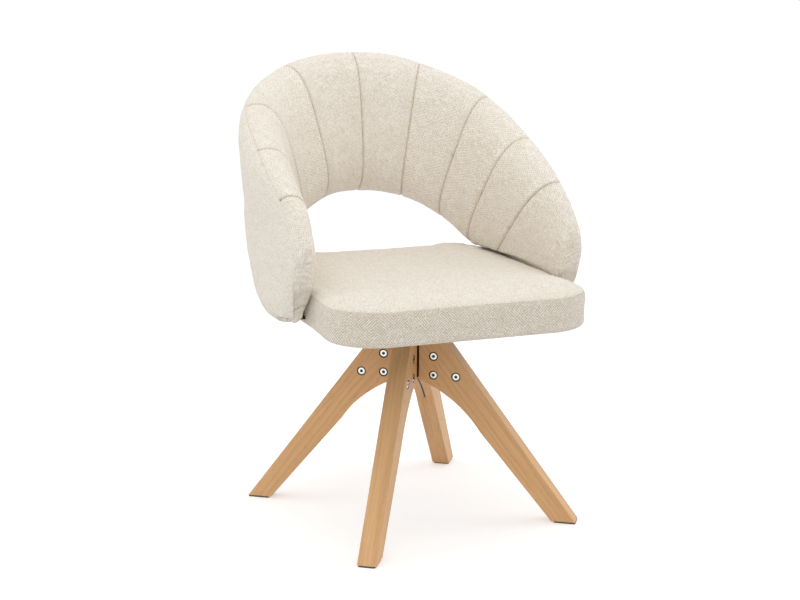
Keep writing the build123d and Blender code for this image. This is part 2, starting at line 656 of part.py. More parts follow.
def frame_tube(end, rim_side, radius):
    """Return a bent tube of the back frame from its left to its right end."""
    count = 2 * TUBE_POINTS * round(end)
    path = Edge.make_spline([tube_point(-end + 2 * end * i / count, rim_side) for i in range(count + 1)])
    return sweep(Plane(origin=path @ 0, z_dir=path % 0) * Circle(radius), path=Wire([path]))


def strut(station, radius):
    """Return a straight bar between the two frame tubes."""
    low, high = tube_point(station, False), tube_point(station, True)
    line = Edge.make_line(low, high)
    return sweep(Plane(origin=low, z_dir=high - low) * Circle(radius), path=Wire([line]))


def seat_room():
    """Return the room that the wings leave free for the seat."""
    return seat_block(-SEAT_GAP, BOARD_BOTTOM - ROOM_PAST, SEAT_TOP + SEAT_GAP, SEAT_EDGE_ROUND)


# ---- nodes --------------------------------------------------------------------------------------------
def write_base():
    """Write the nodes that stand on the floor."""
    for index, corner in enumerate(CORNERS):
        save(f"{corner}_leg", to_corner(index, leg()))
        save(f"{corner}_glide", to_corner(index, glide()))
        save(f"{corner}_hub_fin", to_corner(index, hub_fin()))
    turn = Rot(0, 0, LEG_TURN)
    bore = PIVOT_R + BOLT_HOLE_PLAY
    save("hub_tube", hub_tube())
    save("hub_flange", turn * holed_plate(PLATE_SIDE, LEG_TOP, FLANGE_TOP, FLANGE_SCREW_AT, M6_R, bore))
    lower = holed_plate(PLATE_SIDE, FLANGE_TOP, LOWER_PLATE_TOP, FLANGE_SCREW_AT, M6_R, bore)
    save("lower_swivel_plate", turn * lower)
    spots = [(index, spot) for index in range(LEG_COUNT) for spot in BOLT_SPOTS]
    save("leg_bolts", *(to_corner(index, across_leg(leg_bolt(), spot)) for index, spot in spots))
    save("leg_sleeve_nuts", *(to_corner(index, across_leg(sleeve_nut(), spot)) for index, spot in spots))
    pan_screw = Rot(180, 0, 0) * screw(M6_R, M6_HEAD_R, FLANGE_HEAD_H, -LOWER_PLATE_TOP, FLANGE_SCREW_END - LEG_TOP)
    nut = hexagon_rod(M6_NUT_ACROSS, LEG_TOP - M6_NUT_H, LEG_TOP)
    nut -= rod(M6_R, LEG_TOP - M6_NUT_H - PAST, LEG_TOP + PAST)
    places = [turn * Pos(x, y, 0) for x, y in square_spots(FLANGE_SCREW_AT)]
    save("flange_screws", *(place * pan_screw for place in places))
    save("flange_nuts", *(place * nut for place in places))
    save("lower_race", race(LOWER_PLATE_TOP, LOWER_RACE_TOP))
    save("pivot_bolt", pivot_bolt())
    save("pivot_washer", ring(WASHER_R, PIVOT_R, WASHER_BOTTOM, NUT_BOTTOM))
    save("pivot_lock_nut", hexagon_rod(NUT_ACROSS, NUT_BOTTOM, NUT_BOTTOM + NUT_H)
         - rod(PIVOT_R, NUT_BOTTOM - PAST, NUT_BOTTOM + NUT_H + PAST))


def write_swivel():
    """Write the nodes of the ball race and the seat's side of the swivel."""
    save("ball_cage", ball_cage())
    save("race_balls", *balls())
    save("upper_race", race(UPPER_RACE_BOTTOM, UPPER_PLATE_BOTTOM))
    save("upper_swivel_plate", holed_plate(UPPER_PLATE_SIDE, UPPER_PLATE_BOTTOM, BOARD_BOTTOM, SEAT_SCREW_AT,
                                           M8_R + SCREW_PLAY, PIVOT_R + BUSH_WALL))
    save("pivot_bush", pivot_bush())
    places = [Pos(x, y, 0) for x, y in square_spots(SEAT_SCREW_AT)]
    seat_screw = screw(M8_R, M8_HEAD_R, M8_HEAD_H, UPPER_PLATE_BOTTOM, BOARD_TOP + SEAT_SCREW_END)
    save("seat_screws", *(place * seat_screw for place in places))
    save("seat_tee_nuts", *(place * tee_nut() for place in places))


def write_seat():
    """Write the seat's board, foam, covers and wing brackets."""
    save("seat_board", seat_board())
    save("seat_foam", seat_foam())
    save("seat_cover", seat_cover())
    save("seat_dust_cover", dust_cover())
    for side, name in ((1, "right"), (-1, "left")):
        for y, place in zip(BRACKET_Y, ("front", "rear")):
            save(f"{name}_{place}_wing_bracket", wing_bracket(side, y))
    spots = bracket_spots(1) + bracket_spots(-1)
    nut_bottom = BOARD_TOP + BRACKET_THICK
    bolt = screw(M6_R, M6_HEAD_R, M6_HEAD_H, BRACKET_HEAD_TOP, nut_bottom + M6_NUT_H)
    nut = hexagon_rod(M6_NUT_ACROSS, nut_bottom, nut_bottom + M6_NUT_H)
    nut -= rod(M6_R + THREAD_PLAY, nut_bottom - PAST, nut_bottom + M6_NUT_H + PAST)
    save("bracket_bolts", *(Pos(x, y, 0) * bolt for x, y in spots))
    save("bracket_weld_nuts", *(Pos(x, y, 0) * nut for x, y in spots))


def write_back():
    """Write the hoop back: frame, foam and the two covers."""
    rim = frame_tube(RIM_TUBE_END, True, FRAME_TUBE_R)
    arch = frame_tube(ARCH_TUBE_END, False, FRAME_TUBE_R)
    bore = FRAME_TUBE_R - FRAME_TUBE_WALL
    save("back_rim_tube", rim - frame_tube(RIM_TUBE_END, True, bore))
    save("back_arch_tube", arch - frame_tube(ARCH_TUBE_END, False, bore))
    save("back_struts", *((strut(station, STRUT_R) - rim - arch).solid() for station in STRUT_STATIONS))
    save("right_wing_plate", wing_plate(1))
    save("left_wing_plate", wing_plate(-1))
    save("wing_rivets", *(wing_rivet(side, y, z) for side in (1, -1) for y, z in rivet_spots()))
    foam = hoop(COVER_THICK + BOARD_INSET) - seat_room()
    foam -= frame_tube(RIM_TUBE_END, True, FRAME_TUBE_R + BOARD_INSET)
    foam -= frame_tube(ARCH_TUBE_END, False, FRAME_TUBE_R + BOARD_INSET)
    for station in STRUT_STATIONS:
        foam -= strut(station, STRUT_R + BOARD_INSET)
    for side in (1, -1):
        foam -= wing_plate(side, POCKET_PLAY, holes=False)
        for y in BRACKET_Y:
            foam -= bracket_box(side, y, POCKET_PLAY)
        for y, z in rivet_spots():
            foam -= wing_rivet(side, y, z, POCKET_PLAY)
    save("back_foam", foam)
    skin = hoop(0.0) - hoop(COVER_THICK) - seat_room()
    for side in (1, -1):
        for y in BRACKET_Y:
            skin -= bracket_box(side, y, POCKET_PLAY)
    room = outer_panel_room()
    save("back_outer_cover", skin & room)
    save("back_inner_cover", skin - room)


os.makedirs("parts", exist_ok=True)
write_base()
write_swivel()
write_seat()
write_back()
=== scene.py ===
"""Visual model of a swivel dining chair: woven upholstery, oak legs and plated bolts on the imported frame.

Everything is in metres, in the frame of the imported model: the swivel axis is Z, the floor is z = 0 and the
seat faces -Y.
"""
import logging
import math
from dataclasses import dataclass, field
from enum import Enum
from typing import Iterable, Sequence

import bpy
import numpy as np
from mathutils import Matrix, Vector


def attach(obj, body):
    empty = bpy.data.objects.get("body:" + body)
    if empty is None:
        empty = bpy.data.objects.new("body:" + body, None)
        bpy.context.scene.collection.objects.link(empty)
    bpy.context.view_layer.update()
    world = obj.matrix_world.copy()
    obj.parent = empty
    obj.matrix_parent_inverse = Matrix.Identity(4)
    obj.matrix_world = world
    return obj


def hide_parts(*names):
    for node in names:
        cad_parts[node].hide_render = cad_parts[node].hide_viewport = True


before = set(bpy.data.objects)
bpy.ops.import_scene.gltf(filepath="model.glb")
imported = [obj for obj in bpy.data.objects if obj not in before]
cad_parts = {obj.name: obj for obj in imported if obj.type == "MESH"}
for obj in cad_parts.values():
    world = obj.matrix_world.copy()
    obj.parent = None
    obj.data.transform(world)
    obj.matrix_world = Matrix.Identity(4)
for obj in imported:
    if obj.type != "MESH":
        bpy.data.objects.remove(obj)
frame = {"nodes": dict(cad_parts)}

LOG = logging.getLogger("chair")
Array = np.ndarray
Material = bpy.types.Material
Piece = bpy.types.Object
Socket = bpy.types.NodeSocket
Colour = tuple[float, float, float]
Spots = tuple[tuple[float, float], ...]
Line = tuple[tuple[float, float, float], ...]
Layers = tuple[tuple[float, float, int], ...]
Faces = list[list[int]]


# ---- node trees -------------------------------------------------------------------------------------------
class NodeSheet:
    """A node tree while it is drawn up."""

    def __init__(self, owner: Material | bpy.types.World) -> None:
        """Empty the tree of a material or a world."""
        owner.use_nodes = True
        self.tree = owner.node_tree
        self.tree.nodes.clear()

    def put(self, value: object, target: Socket) -> None:
        """Link a socket to a target, or set a plain value on it."""
        if isinstance(value, Socket):
            self.tree.links.new(value, target)
        else:
            target.default_value = (*value, 1.0) if target.type == "RGBA" else value

    def add(self, kind: str, sockets: dict | None = None, **settings: object) -> bpy.types.Node:
        """Add a node.

        Args:
            kind: Blender's name of the node type, after the words that all of them start with.
            sockets: Sockets or plain values for its inputs, by name or number.
            settings: Properties to set on it.

        Returns:
            The node.
        """
        node = self.tree.nodes.new("ShaderNode" + kind)
        for name, value in settings.items():
            setattr(node, name, value)
        for name, value in (sockets or {}).items():
            self.put(value, node.inputs[name])
        return node

    @property
    def place(self) -> Socket:
        """The coordinate in the piece's own frame."""
        return self.add("TexCoord").outputs["Object"]

    def split(self, vector: Socket) -> Sequence[Socket]:
        """Return the three numbers of a vector or a colour."""
        return self.add("SeparateXYZ", {0: vector}).outputs[:]

    def vector(self, **numbers: object) -> Socket:
        """Return a vector of the named numbers, with 0 for the rest."""
        return self.add("CombineXYZ", numbers).outputs[0]

    def maths(self, operation: str, *values: object, clamp: bool = False) -> Socket:
        """Combine one to three sockets or numbers by one of Blender's operations."""
        return self.add("Math", dict(enumerate(values)), operation=operation, use_clamp=clamp).outputs[0]

    def moved(self, vector: object, factors: object, shift: object) -> Socket:
        """Return a vector times its factors, plus a shift."""
        return self.add("VectorMath", {0: vector, 1: factors, 2: shift}, operation="MULTIPLY_ADD").outputs[0]

    def weighted(self, *terms: tuple[object, float], base: float = 0.0) -> Socket:
        """Add up values.

        Args:
            terms: Each value and its weight.
            base: What the sum starts from.

        Returns:
            The sum's socket.
        """
        total: object = base
        for value, weight in terms:
            total = self.maths("MULTIPLY_ADD", value, weight, total)
        return total

    def ramp(self, value: Socket, low: float, high: float) -> Socket:
        """Spread the range from low to high smoothly over 0 to 1."""
        return self.add("MapRange", {"Value": value, "From Min": low, "From Max": high},
                        interpolation_type="SMOOTHSTEP").outputs["Result"]

    def blend(self, share: object, first: object, second: object, strength: float = 1.0) -> Socket:
        """Mix two colours.

        Args:
            share: Share of the second colour.
            first: A socket or a colour.
            second: A socket or a colour.
            strength: Factor on the share.

        Returns:
            The mixed colour's socket.
        """
        if strength != 1.0:
            share = self.maths("MULTIPLY", share, strength)
        return self.add("Mix", {0: share, 6: first, 7: second}, data_type="RGBA").outputs[2]

    def scaled(self, vector: Socket, scale: Sequence[float] = (1, 1, 1), turn: Sequence[float] = (0, 0, 0)
               ) -> Socket:
        """Scale a coordinate and then turn it by Euler angles."""
        return self.add("Mapping", {"Vector": vector, "Scale": scale, "Rotation": turn}).outputs[0]

    def noise(self, vector: Socket, scale: float, detail: float = 2.0, rough: float = 0.5) -> Socket:
        """Return a noise value between about 0.3 and 0.7."""
        return self.add("TexNoise", {"Vector": vector, "Scale": scale, "Detail": detail, "Roughness": rough}
                        ).outputs[0]

    def cells(self, vector: Socket, scale: float, random: float) -> bpy.types.Node:
        """Return a cell texture node, with Distance and Color outputs."""
        return self.add("TexVoronoi", {"Vector": vector, "Scale": scale, "Randomness": random})

    def seen(self) -> Socket:
        """Return 1 for rays that show the surroundings: camera, glossy and transmission rays."""
        rays = self.add("LightPath").outputs
        shown = self.maths("MAXIMUM", rays["Is Camera Ray"], rays["Is Glossy Ray"])
        return self.maths("MAXIMUM", shown, rays["Is Transmission Ray"])


class FinishSheet(NodeSheet):
    """The node tree of one material, round a Principled shader."""

    def __init__(self, name: str) -> None:
        """Start the material by its name."""
        self.material = bpy.data.materials.new(name)
        super().__init__(self.material)
        self.shader = self.add("BsdfPrincipled")
        self.output = self.add("OutputMaterial", {"Surface": self.shader.outputs[0]})

    def bolt_marks(self, turn: float, spots: Spots, radius: float, soft: float = 0.0001) -> Socket:
        """Mark a round at the axis of each leg bolt.

        Args:
            turn: Angle of the first leg in radians. The others follow at quarter turns.
            spots: Radius and height of each bolt of a leg.
            radius: Radius of the marks.
            soft: How far their edge fades either way.

        Returns:
            1 in a mark and 0 beyond.
        """
        x, y, z = self.split(self.scaled(self.place, turn=(0, 0, -turn)))
        flat = self.vector(X=self.maths("MAXIMUM", self.maths("ABSOLUTE", x), self.maths("ABSOLUTE", y)), Z=z)
        nearest: object = 1.0
        for reach, height in spots:
            gap = self.add("VectorMath", {0: flat, 1: (reach, 0, height)}, operation="DISTANCE")
            nearest = self.maths("MINIMUM", gap.outputs["Value"], nearest)
        return self.ramp(nearest, radius + soft, radius - soft)

    def surface(self, colour: object, roughness: object, **sockets: object) -> None:
        """Set the shader's colour, its roughness, and further sockets by name with underscores for spaces."""
        values = {"Base Color": colour, "Roughness": roughness, **sockets}
        for name, value in values.items():
            self.put(value, self.shader.inputs[name.replace("_", " ")])

    def relief(self, height: Socket, depth: float) -> None:
        """Give the surface a relief, as deep in metres as a height of 1 stands for."""
        bump = self.add("Bump", {"Strength": 1.0, "Distance": depth, "Height": height})
        self.put(bump.outputs[0], self.shader.inputs["Normal"])


# ---- finishes ---------------------------------------------------------------------------------------------
def darker(colour: Colour, share: float) -> Colour:
    """Return a share of a colour."""
    return tuple(share * value for value in colour)


class WeavePattern(Enum):
    """How the thick yarns of the upholstery cloth lie."""

    STRAIGHT = "straight"
    CHEVRON = "chevron"


@dataclass(frozen=True)
class WovenCloth:
    """Cream cloth woven from thick, uneven yarn."""

    name: str
    pattern: WeavePattern = WeavePattern.STRAIGHT
    yarn: Colour = (0.895, 0.850, 0.772)
    # Painted shade between the yarns and along the seams, and also the colour of the yarn's own dark flecks
    # and mottle.
    dark_yarn_and_painted_shade: Colour = (0.58, 0.475, 0.35)
    fleck: Colour = (0.945, 0.915, 0.855)
    pitch: float = 0.0031
    ribs: float = 0.45
    loops: float = 0.85
    hair: float = 0.30
    pull: float = 0.0032
    contrast: float = 0.60
    relief: float = 0.0010

    def material(self) -> Material:
        """Return the material, which reads the cloth's own coordinates from the mesh."""
        sheet = FinishSheet(self.name)
        cloth = sheet.add("Attribute", attribute_name="weave").outputs["Vector"]
        wander = sheet.noise(cloth, 160.0).node.outputs["Color"]
        pulled = sheet.moved(wander, (self.pull, self.pull, 0.0), cloth)
        check = sheet.weighted((self._yarns(sheet, pulled), 0.5), base=0.5)
        cells = sheet.cells(pulled, 1.0 / (self.pitch * 0.85), 0.9)
        curl = sheet.ramp(cells.outputs["Distance"], 0.75, 0.05)
        hairs = sheet.noise(cloth, 1500.0, 3.0, 0.65)
        height = sheet.weighted((check, self.ribs), (curl, self.loops - self.ribs), (hairs, self.hair))
        mottle = sheet.ramp(sheet.noise(cloth, 45.0, 4.0, 0.6), 0.35, 0.68)
        light, dark, _ = sheet.split(cells.outputs["Color"])
        seam = sheet.add("Attribute", attribute_name="seam").outputs["Fac"]
        # Painted shade: darker where the yarns lie low, in the gaps between them, by the share in contrast.
        colour = sheet.blend(sheet.ramp(height, 0.70, 0.22), self.yarn, self.dark_yarn_and_painted_shade, self.contrast)
        # Light and dark flecks and a faint mottle: the yarn's own colour.
        colour = sheet.blend(sheet.ramp(light, 0.55, 0.95), colour, self.fleck, 0.40)
        colour = sheet.blend(sheet.ramp(dark, 0.80, 0.98), colour, self.dark_yarn_and_painted_shade, 0.34)
        colour = sheet.blend(mottle, colour, self.dark_yarn_and_painted_shade, 0.12)
        # Painted shade along the seams.
        colour = sheet.blend(seam, colour, self.dark_yarn_and_painted_shade, 0.50)
        sheet.surface(colour, 0.94, Sheen_Weight=0.25, Sheen_Roughness=0.5, Specular_IOR_Level=0.25)
        sheet.relief(height, self.relief)
        return sheet.material

    def _yarns(self, sheet: FinishSheet, cloth: Socket) -> Socket:
        """Cross the yarns in small checks, or run them at 45 degrees, to one side or the other by patches.

        Args:
            sheet: The tree in work.
            cloth: Coordinate on the cloth.

        Returns:
            The yarns' height, from -1 to 1.
        """
        across, along, _ = sheet.split(cloth)
        if self.pattern is WeavePattern.STRAIGHT:
            return sheet.maths("MULTIPLY", *(sheet.maths("SINE", sheet.maths(
                "MULTIPLY", line, math.pi / self.pitch)) for line in (across, along)))
        patches = sheet.cells(sheet.vector(X=across, Y=along), 1 / (4.5 * self.pitch), 0.8)
        half = sheet.maths("GREATER_THAN", sheet.split(patches.outputs["Color"])[0], 0.5)
        way = sheet.weighted((half, 2.0), base=-1.0)
        slant = sheet.maths("MULTIPLY_ADD", along, way, across)
        return sheet.maths("SINE", sheet.maths("MULTIPLY", slant, math.sqrt(2) * math.pi / self.pitch))


@dataclass(frozen=True)
class Oak:
    """Lacquered oak with its grain along one leg."""

    name: str
    turn: float
    lean: float
    bolts: Spots
    light: Colour = (0.790, 0.475, 0.228)
    dark: Colour = (0.635, 0.355, 0.155)
    pore: Colour = (0.380, 0.200, 0.090)
    # Colour of the painted shadow in the counterbore round each bolt head.
    counterbore_shade: Colour = (0.070, 0.040, 0.022)
    counterbore_shade_radius: float = 0.0087

    def material(self) -> Material:
        """Return the material."""
        sheet = FinishSheet(self.name)
        grain = sheet.scaled(sheet.scaled(sheet.place, turn=(0, 0, -self.turn)), turn=(0, self.lean, 0))
        sway = sheet.vector(X=sheet.noise(sheet.scaled(grain, (9, 9, 1.6)), 1.0))
        bent = sheet.moved(sway, (0.05, 0.0, 0.0), sheet.scaled(grain, (1, 0.55, 0.02), (0, 0, 0.5)))
        rings = sheet.add("TexWave", {"Vector": bent, "Scale": 38.0, "Distortion": 1.6, "Detail": 2.0,
                                      "Detail Scale": 1.5}, wave_type="BANDS", bands_direction="X")
        fibre = sheet.noise(sheet.scaled(grain, (900, 900, 18)), 1.0, 3.0, 0.6)
        streak = sheet.noise(sheet.scaled(grain, (260, 260, 5.0)), 1.0, 3.0, 0.55)
        pores = sheet.ramp(sheet.noise(sheet.scaled(grain, (1300, 1300, 75)), 1.0), 0.60, 0.72)
        early = sheet.ramp(rings.outputs["Fac"], 0.25, 0.95)
        tone = sheet.weighted((early, 0.10), (fibre, 0.60), (streak, 0.56))
        colour = sheet.blend(sheet.ramp(tone, 0.38, 0.90), self.light, self.dark)
        marks = sheet.maths("MULTIPLY", pores, sheet.weighted((early, 0.45), base=0.20))
        colour = sheet.blend(marks, colour, self.pore)
        # Painted shadow: the wood turns near black in the counterbore round each bolt head.
        ring = sheet.bolt_marks(self.turn, self.bolts, self.counterbore_shade_radius)
        sheet.surface(sheet.blend(ring, colour, self.counterbore_shade), sheet.weighted((streak, 0.14), base=0.40),
                      Specular_IOR_Level=0.35)
        sheet.relief(sheet.weighted((fibre, 1.0), (pores, -0.8)), 0.00012)
        return sheet.material


@dataclass(frozen=True)
class PlatedMetal:
    """Plated or coated metal with fine handling marks."""

    name: str
    colour: Colour
    roughness: float
    metallic: float = 1.0
    grit: float = 900.0
    relief: float = 0.00004
    turn: float = 0.0
    sockets: Spots = ()
    socket_radius: float = 0.0030
    # Colour of the painted shade in the bolt heads' sockets.
    socket_shade_colour: Colour = (0.015, 0.013, 0.012)

    def material(self) -> Material:
        """Return the material."""
        sheet = FinishSheet(self.name)
        place = sheet.place
        smudge = sheet.noise(place, 60.0, 3.0, 0.6)
        colour = sheet.blend(sheet.ramp(smudge, 0.35, 0.75), self.colour, darker(self.colour, 0.72))
        metallic: object = self.metallic
        if self.sockets:
            # Painted shade: each bolt head's socket turns near black and less metallic.
            hole = sheet.bolt_marks(self.turn, self.sockets, self.socket_radius)
            colour = sheet.blend(hole, colour, self.socket_shade_colour)
            metallic = sheet.maths("SUBTRACT", self.metallic, hole, clamp=True)
        sheet.surface(colour, sheet.weighted((smudge, 0.16), base=self.roughness - 0.08), Metallic=metallic)
        sheet.relief(sheet.noise(place, self.grit, 3.0, 0.6), self.relief)
        return sheet.material


@dataclass(frozen=True)
class MouldedPlastic:
    """Moulded plastic with a fine spark-eroded texture."""

    name: str
    colour: Colour
    roughness: float = 0.5

    def material(self) -> Material:
        """Return the material."""
        sheet = FinishSheet(self.name)
        place = sheet.place
        grain = sheet.noise(place, 2400.0, 3.0, 0.6)
        sheet.surface(sheet.blend(sheet.noise(place, 90.0), self.colour, darker(self.colour, 0.8)),
                      sheet.weighted((grain, 0.2), base=self.roughness - 0.1))
        sheet.relief(grain, 0.00006)
        return sheet.material


@dataclass(frozen=True)
class FeltedCloth:
    """Thin black cloth of pressed fibres."""

    name: str
    colour: Colour = (0.022, 0.021, 0.020)
    lighter: Colour = (0.0528, 0.0504, 0.048)

    def material(self) -> Material:
        """Return the material."""
        sheet = FinishSheet(self.name)
        place = sheet.place
        dimple = sheet.ramp(sheet.cells(place, 620.0, 0.25).outputs["Distance"], 0.15, 0.55)
        fibre = sheet.noise(place, 1400.0, 4.0, 0.7)
        sheet.surface(sheet.blend(sheet.maths("MULTIPLY", fibre, dimple), self.colour, self.lighter), 0.85)
        sheet.relief(sheet.weighted((dimple, 1.0), (fibre, 0.5)), 0.0002)
        return sheet.material


@dataclass(frozen=True)
class RawPlywood:
    """Unfinished plywood with its plies along the edge."""

    name: str
    face: Colour = (0.62, 0.44, 0.27)
    core: Colour = (0.36, 0.22, 0.12)

    def material(self) -> Material:
        """Return the material."""
        sheet = FinishSheet(self.name)
        place = sheet.place
        plies = sheet.add("TexWave", {"Vector": place, "Scale": 130.0, "Distortion": 0.3},
                          wave_type="BANDS", bands_direction="Z")
        figure = sheet.noise(sheet.scaled(place, (14, 160, 30)), 1.0, 4.0, 0.6)
        tone = sheet.weighted((plies.outputs["Fac"], 0.4), (figure, 0.6))
        sheet.surface(sheet.blend(tone, self.face, self.core), 0.75)
        sheet.relief(figure, 0.0002)
        return sheet.material


# ---- mesh work --------------------------------------------------------------------------------------------
def spread(count: int, crowd: float) -> Array:
    """Return count + 1 fractions from 0 to 1, which crowd towards both ends as crowd nears 1."""
    even = np.linspace(0.0, 1.0, count + 1)
    return even - crowd * np.sin(2 * math.pi * even) / (2 * math.pi)


def unit(vectors: Array) -> Array:
    """Return the vectors at length 1."""
    return vectors / np.maximum(np.linalg.norm(vectors, axis=-1, keepdims=True), 1e-12)


def ripple(places: Array, wavelength: float, seed: int) -> Array:
    """Return a gentle uneven value between about -1 and 1 at each place.

    Args:
        places: Points in metres.
        wavelength: Typical distance between two highs.
        seed: Seed of the pattern.

    Returns:
        One value for each point.
    """
    random = np.random.default_rng(seed)
    total = np.zeros(places.shape[:-1])
    for _ in range(9):
        direction = unit(random.normal(size=3))
        rate = 2 * math.pi / (wavelength * random.uniform(0.7, 1.5))
        total += np.sin(places @ direction * rate + random.uniform(0, 2 * math.pi))
    return total / 4.0


def lumpy(places: Array, layers: Layers) -> Array:
    """Return ripples on top of each other, each with its own height, wavelength and seed."""
    return sum(height * ripple(places, wavelength, seed) for height, wavelength, seed in layers)


def groove(distance: Array, width: float) -> Array:
    """Return the share of a seam's depth at a distance from it."""
    return np.exp(-(np.abs(distance) / width) ** 1.25)


def stitched(distance: Array, pitch: float, share: float) -> Array:
    """Return a factor on a seam's depth that is a share more or less at each stitch."""
    return 1 + share * np.sin(2 * math.pi * distance / pitch)


def walked(points: Array, axis: int = 0) -> Array:
    """Return how far each point lies from the first one, walked along an axis of a grid."""
    steps = np.linalg.norm(np.diff(points, axis=axis), axis=-1)
    return np.insert(np.cumsum(steps, axis=axis), 0, 0.0, axis=axis)


def numbered(*shape: int) -> Array:
    """Return a grid of point numbers."""
    return np.arange(math.prod(shape)).reshape(shape)


def squares(grid: Array, turned: bool = True, closed: int | None = None) -> Array:
    """Join the points of a grid to squares.

    Args:
        grid: Point numbers.
        turned: Whether a square's second corner is the next one along the second axis, not the first.
        closed: The axis along which the last points join the first ones, if any.

    Returns:
        Four point numbers for each square.
    """
    if closed is not None:
        grid = np.concatenate([grid, grid.take([0], closed)], closed)
    ways = [grid[1:, :-1], grid[1:, 1:], grid[:-1, 1:]]
    return np.stack([grid[:-1, :-1], *(ways[::-1] if turned else ways)], -1).reshape(-1, 4)


def fan(ring: Array, hub: int) -> Faces:
    """Close a ring of point numbers with triangles round a hub."""
    return [[int(first), hub, int(second)] for first, second in zip(ring, np.roll(ring, -1))]


def make_mesh(name: str, points: Array, faces: Sequence[Sequence[int]], weave: Array | None = None) -> Piece:
    """Make a smooth mesh object.

    Args:
        name: Name of the piece.
        points: Its points in metres.
        faces: Its faces as point numbers.
        weave: For each corner of each face, the cloth's own two coordinates in metres, and how near it lies
        to a seam, from 0 to 1 in the seam; the cloth paints shade along the seams by it.

    Returns:
        The object, linked to the scene.
    """
    mesh = bpy.data.meshes.new(name)
    mesh.from_pydata(points.tolist(), [], faces)
    mesh.polygons.foreach_set("use_smooth", [True] * len(mesh.polygons))
    if weave is not None:
        layer = mesh.attributes.new("weave", "FLOAT_VECTOR", "CORNER")
        layer.data.foreach_set("vector", (weave * (1, 1, 0)).astype(np.float32).ravel())
        seam = mesh.attributes.new("seam", "FLOAT", "CORNER")
        seam.data.foreach_set("value", weave[:, 2].astype(np.float32))
    mesh.update()
    piece = bpy.data.objects.new(name, mesh)
    bpy.context.scene.collection.objects.link(piece)
    return piece


def sewn(name: str, points: Array, faces: Array, cloth: Array) -> Piece:
    """Make the mesh of a panel from grids of its points and of their places on the cloth."""
    return make_mesh(name, points.reshape(-1, 3), faces.tolist(), cloth.reshape(-1, 3)[faces.ravel()])


def dress(piece: Piece, material: Material) -> None:
    """Give every material slot of a piece one material."""
    if not piece.data.materials:
        piece.data.materials.append(material)
    for index in range(len(piece.data.materials)):
        piece.data.materials[index] = material


def upholster(piece: Piece, material: Material) -> None:
    """Finish a padded cover and let it turn with the seat.

    Args:
        piece: The cover.
        material: Its cloth.
    """
    dress(piece, material)
    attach(piece, "seat")


@dataclass
class StuffedSkin:
    """Cloth that swells over its stuffing between the seams that hold it down."""

    pressure: float = 4.0
    frames: int = 20
    mass: float = 0.3
    stiffness: float = 15.0

    def swell(self, points: Array, faces: Sequence[Sequence[int]], held: Array) -> Array:
        """Blow the cloth up with its held points in place.

        Args:
            points: Points of a closed mesh.
            faces: Its faces.
            held: Whether each point is held fast.

        Returns: How far each point moves.
        """
        piece = make_mesh("stuffing_trial", points, faces)
        group = piece.vertex_groups.new(name="held")
        group.add(np.flatnonzero(held).tolist(), 1.0, "REPLACE")
        cloth = piece.modifiers.new("swell", "CLOTH")
        settings = {"quality": 5, "mass": self.mass, "tension_stiffness": self.stiffness,
                    "compression_stiffness": self.stiffness, "use_pressure": True,
                    "uniform_pressure_force": self.pressure, "vertex_group_mass": group.name}
        for name, value in settings.items():
            setattr(cloth.settings, name, value)
        cloth.settings.effector_weights.gravity = 0.0
        cloth.collision_settings.use_collision = False
        cloth.point_cache.frame_end = self.frames
        scene = bpy.context.scene
        for number in range(1, self.frames + 1):
            scene.frame_set(number)
        evaluated = piece.evaluated_get(bpy.context.evaluated_depsgraph_get())
        result = np.empty(len(points) * 3, np.float32)
        evaluated.data.vertices.foreach_get("co", result)
        scene.frame_set(1)
        mesh = piece.data
        bpy.data.objects.remove(piece)
        bpy.data.meshes.remove(mesh)
        moves = result.reshape(-1, 3).astype(float) - points
        moves[held] = 0
        return moves


def capped(moves: Array, limit: Array | float) -> Array:
    """Hold moves smoothly under a limit.

    Args:
        moves: Vectors.
        limit: Greatest length, one for all or one for each.

    Returns:
        The shortened vectors.
    """
    length = np.maximum(np.linalg.norm(moves, axis=-1, keepdims=True), 1e-12)
    most = np.broadcast_to(np.asarray(limit, float), moves.shape[:-1])[..., None]
    return moves / length * most * np.tanh(length / np.maximum(most, 1e-9))


def outward_only(moves: Array, normal: Array, inward: float = 0.0008) -> Array:
    """Leave out the share of the moves that would sink the cloth further into its stuffing than it may."""
    rise = (moves * normal).sum(-1)
    return moves + normal * (np.maximum(rise, -inward) - rise)[..., None]


def sample(grid: Array, first: Array, second: Array) -> Array:
    """Read a grid between its points, smoothly.

    Args:
        grid: Values at whole-number places, with the value's parts last.
        first: Places along the first axis.
        second: Places along the second axis.

    Returns:
        The value at each place.
    """
    def weights(share: Array) -> tuple[Array, ...]:
        """Return the four weights of a smooth line through four values."""
        square, cube = share ** 2, share ** 3
        return (0.5 * (2 * square - cube - share), 0.5 * (3 * cube - 5 * square + 2),
                0.5 * (4 * square - 3 * cube + share), 0.5 * (cube - square))

    rows, columns = grid.shape[:2]
    row = np.clip(np.floor(first).astype(int), 0, rows - 2)
    column = np.clip(np.floor(second).astype(int), 0, columns - 2)
    total = 0.0
    for step_r, weight_r in zip((-1, 0, 1, 2), weights(first - row)):
        for step_c, weight_c in zip((-1, 0, 1, 2), weights(second - column)):
            picked = grid[np.clip(row + step_r, 0, rows - 1), np.clip(column + step_c, 0, columns - 1)]
            total = total + (weight_r * weight_c)[..., None] * picked
    return total


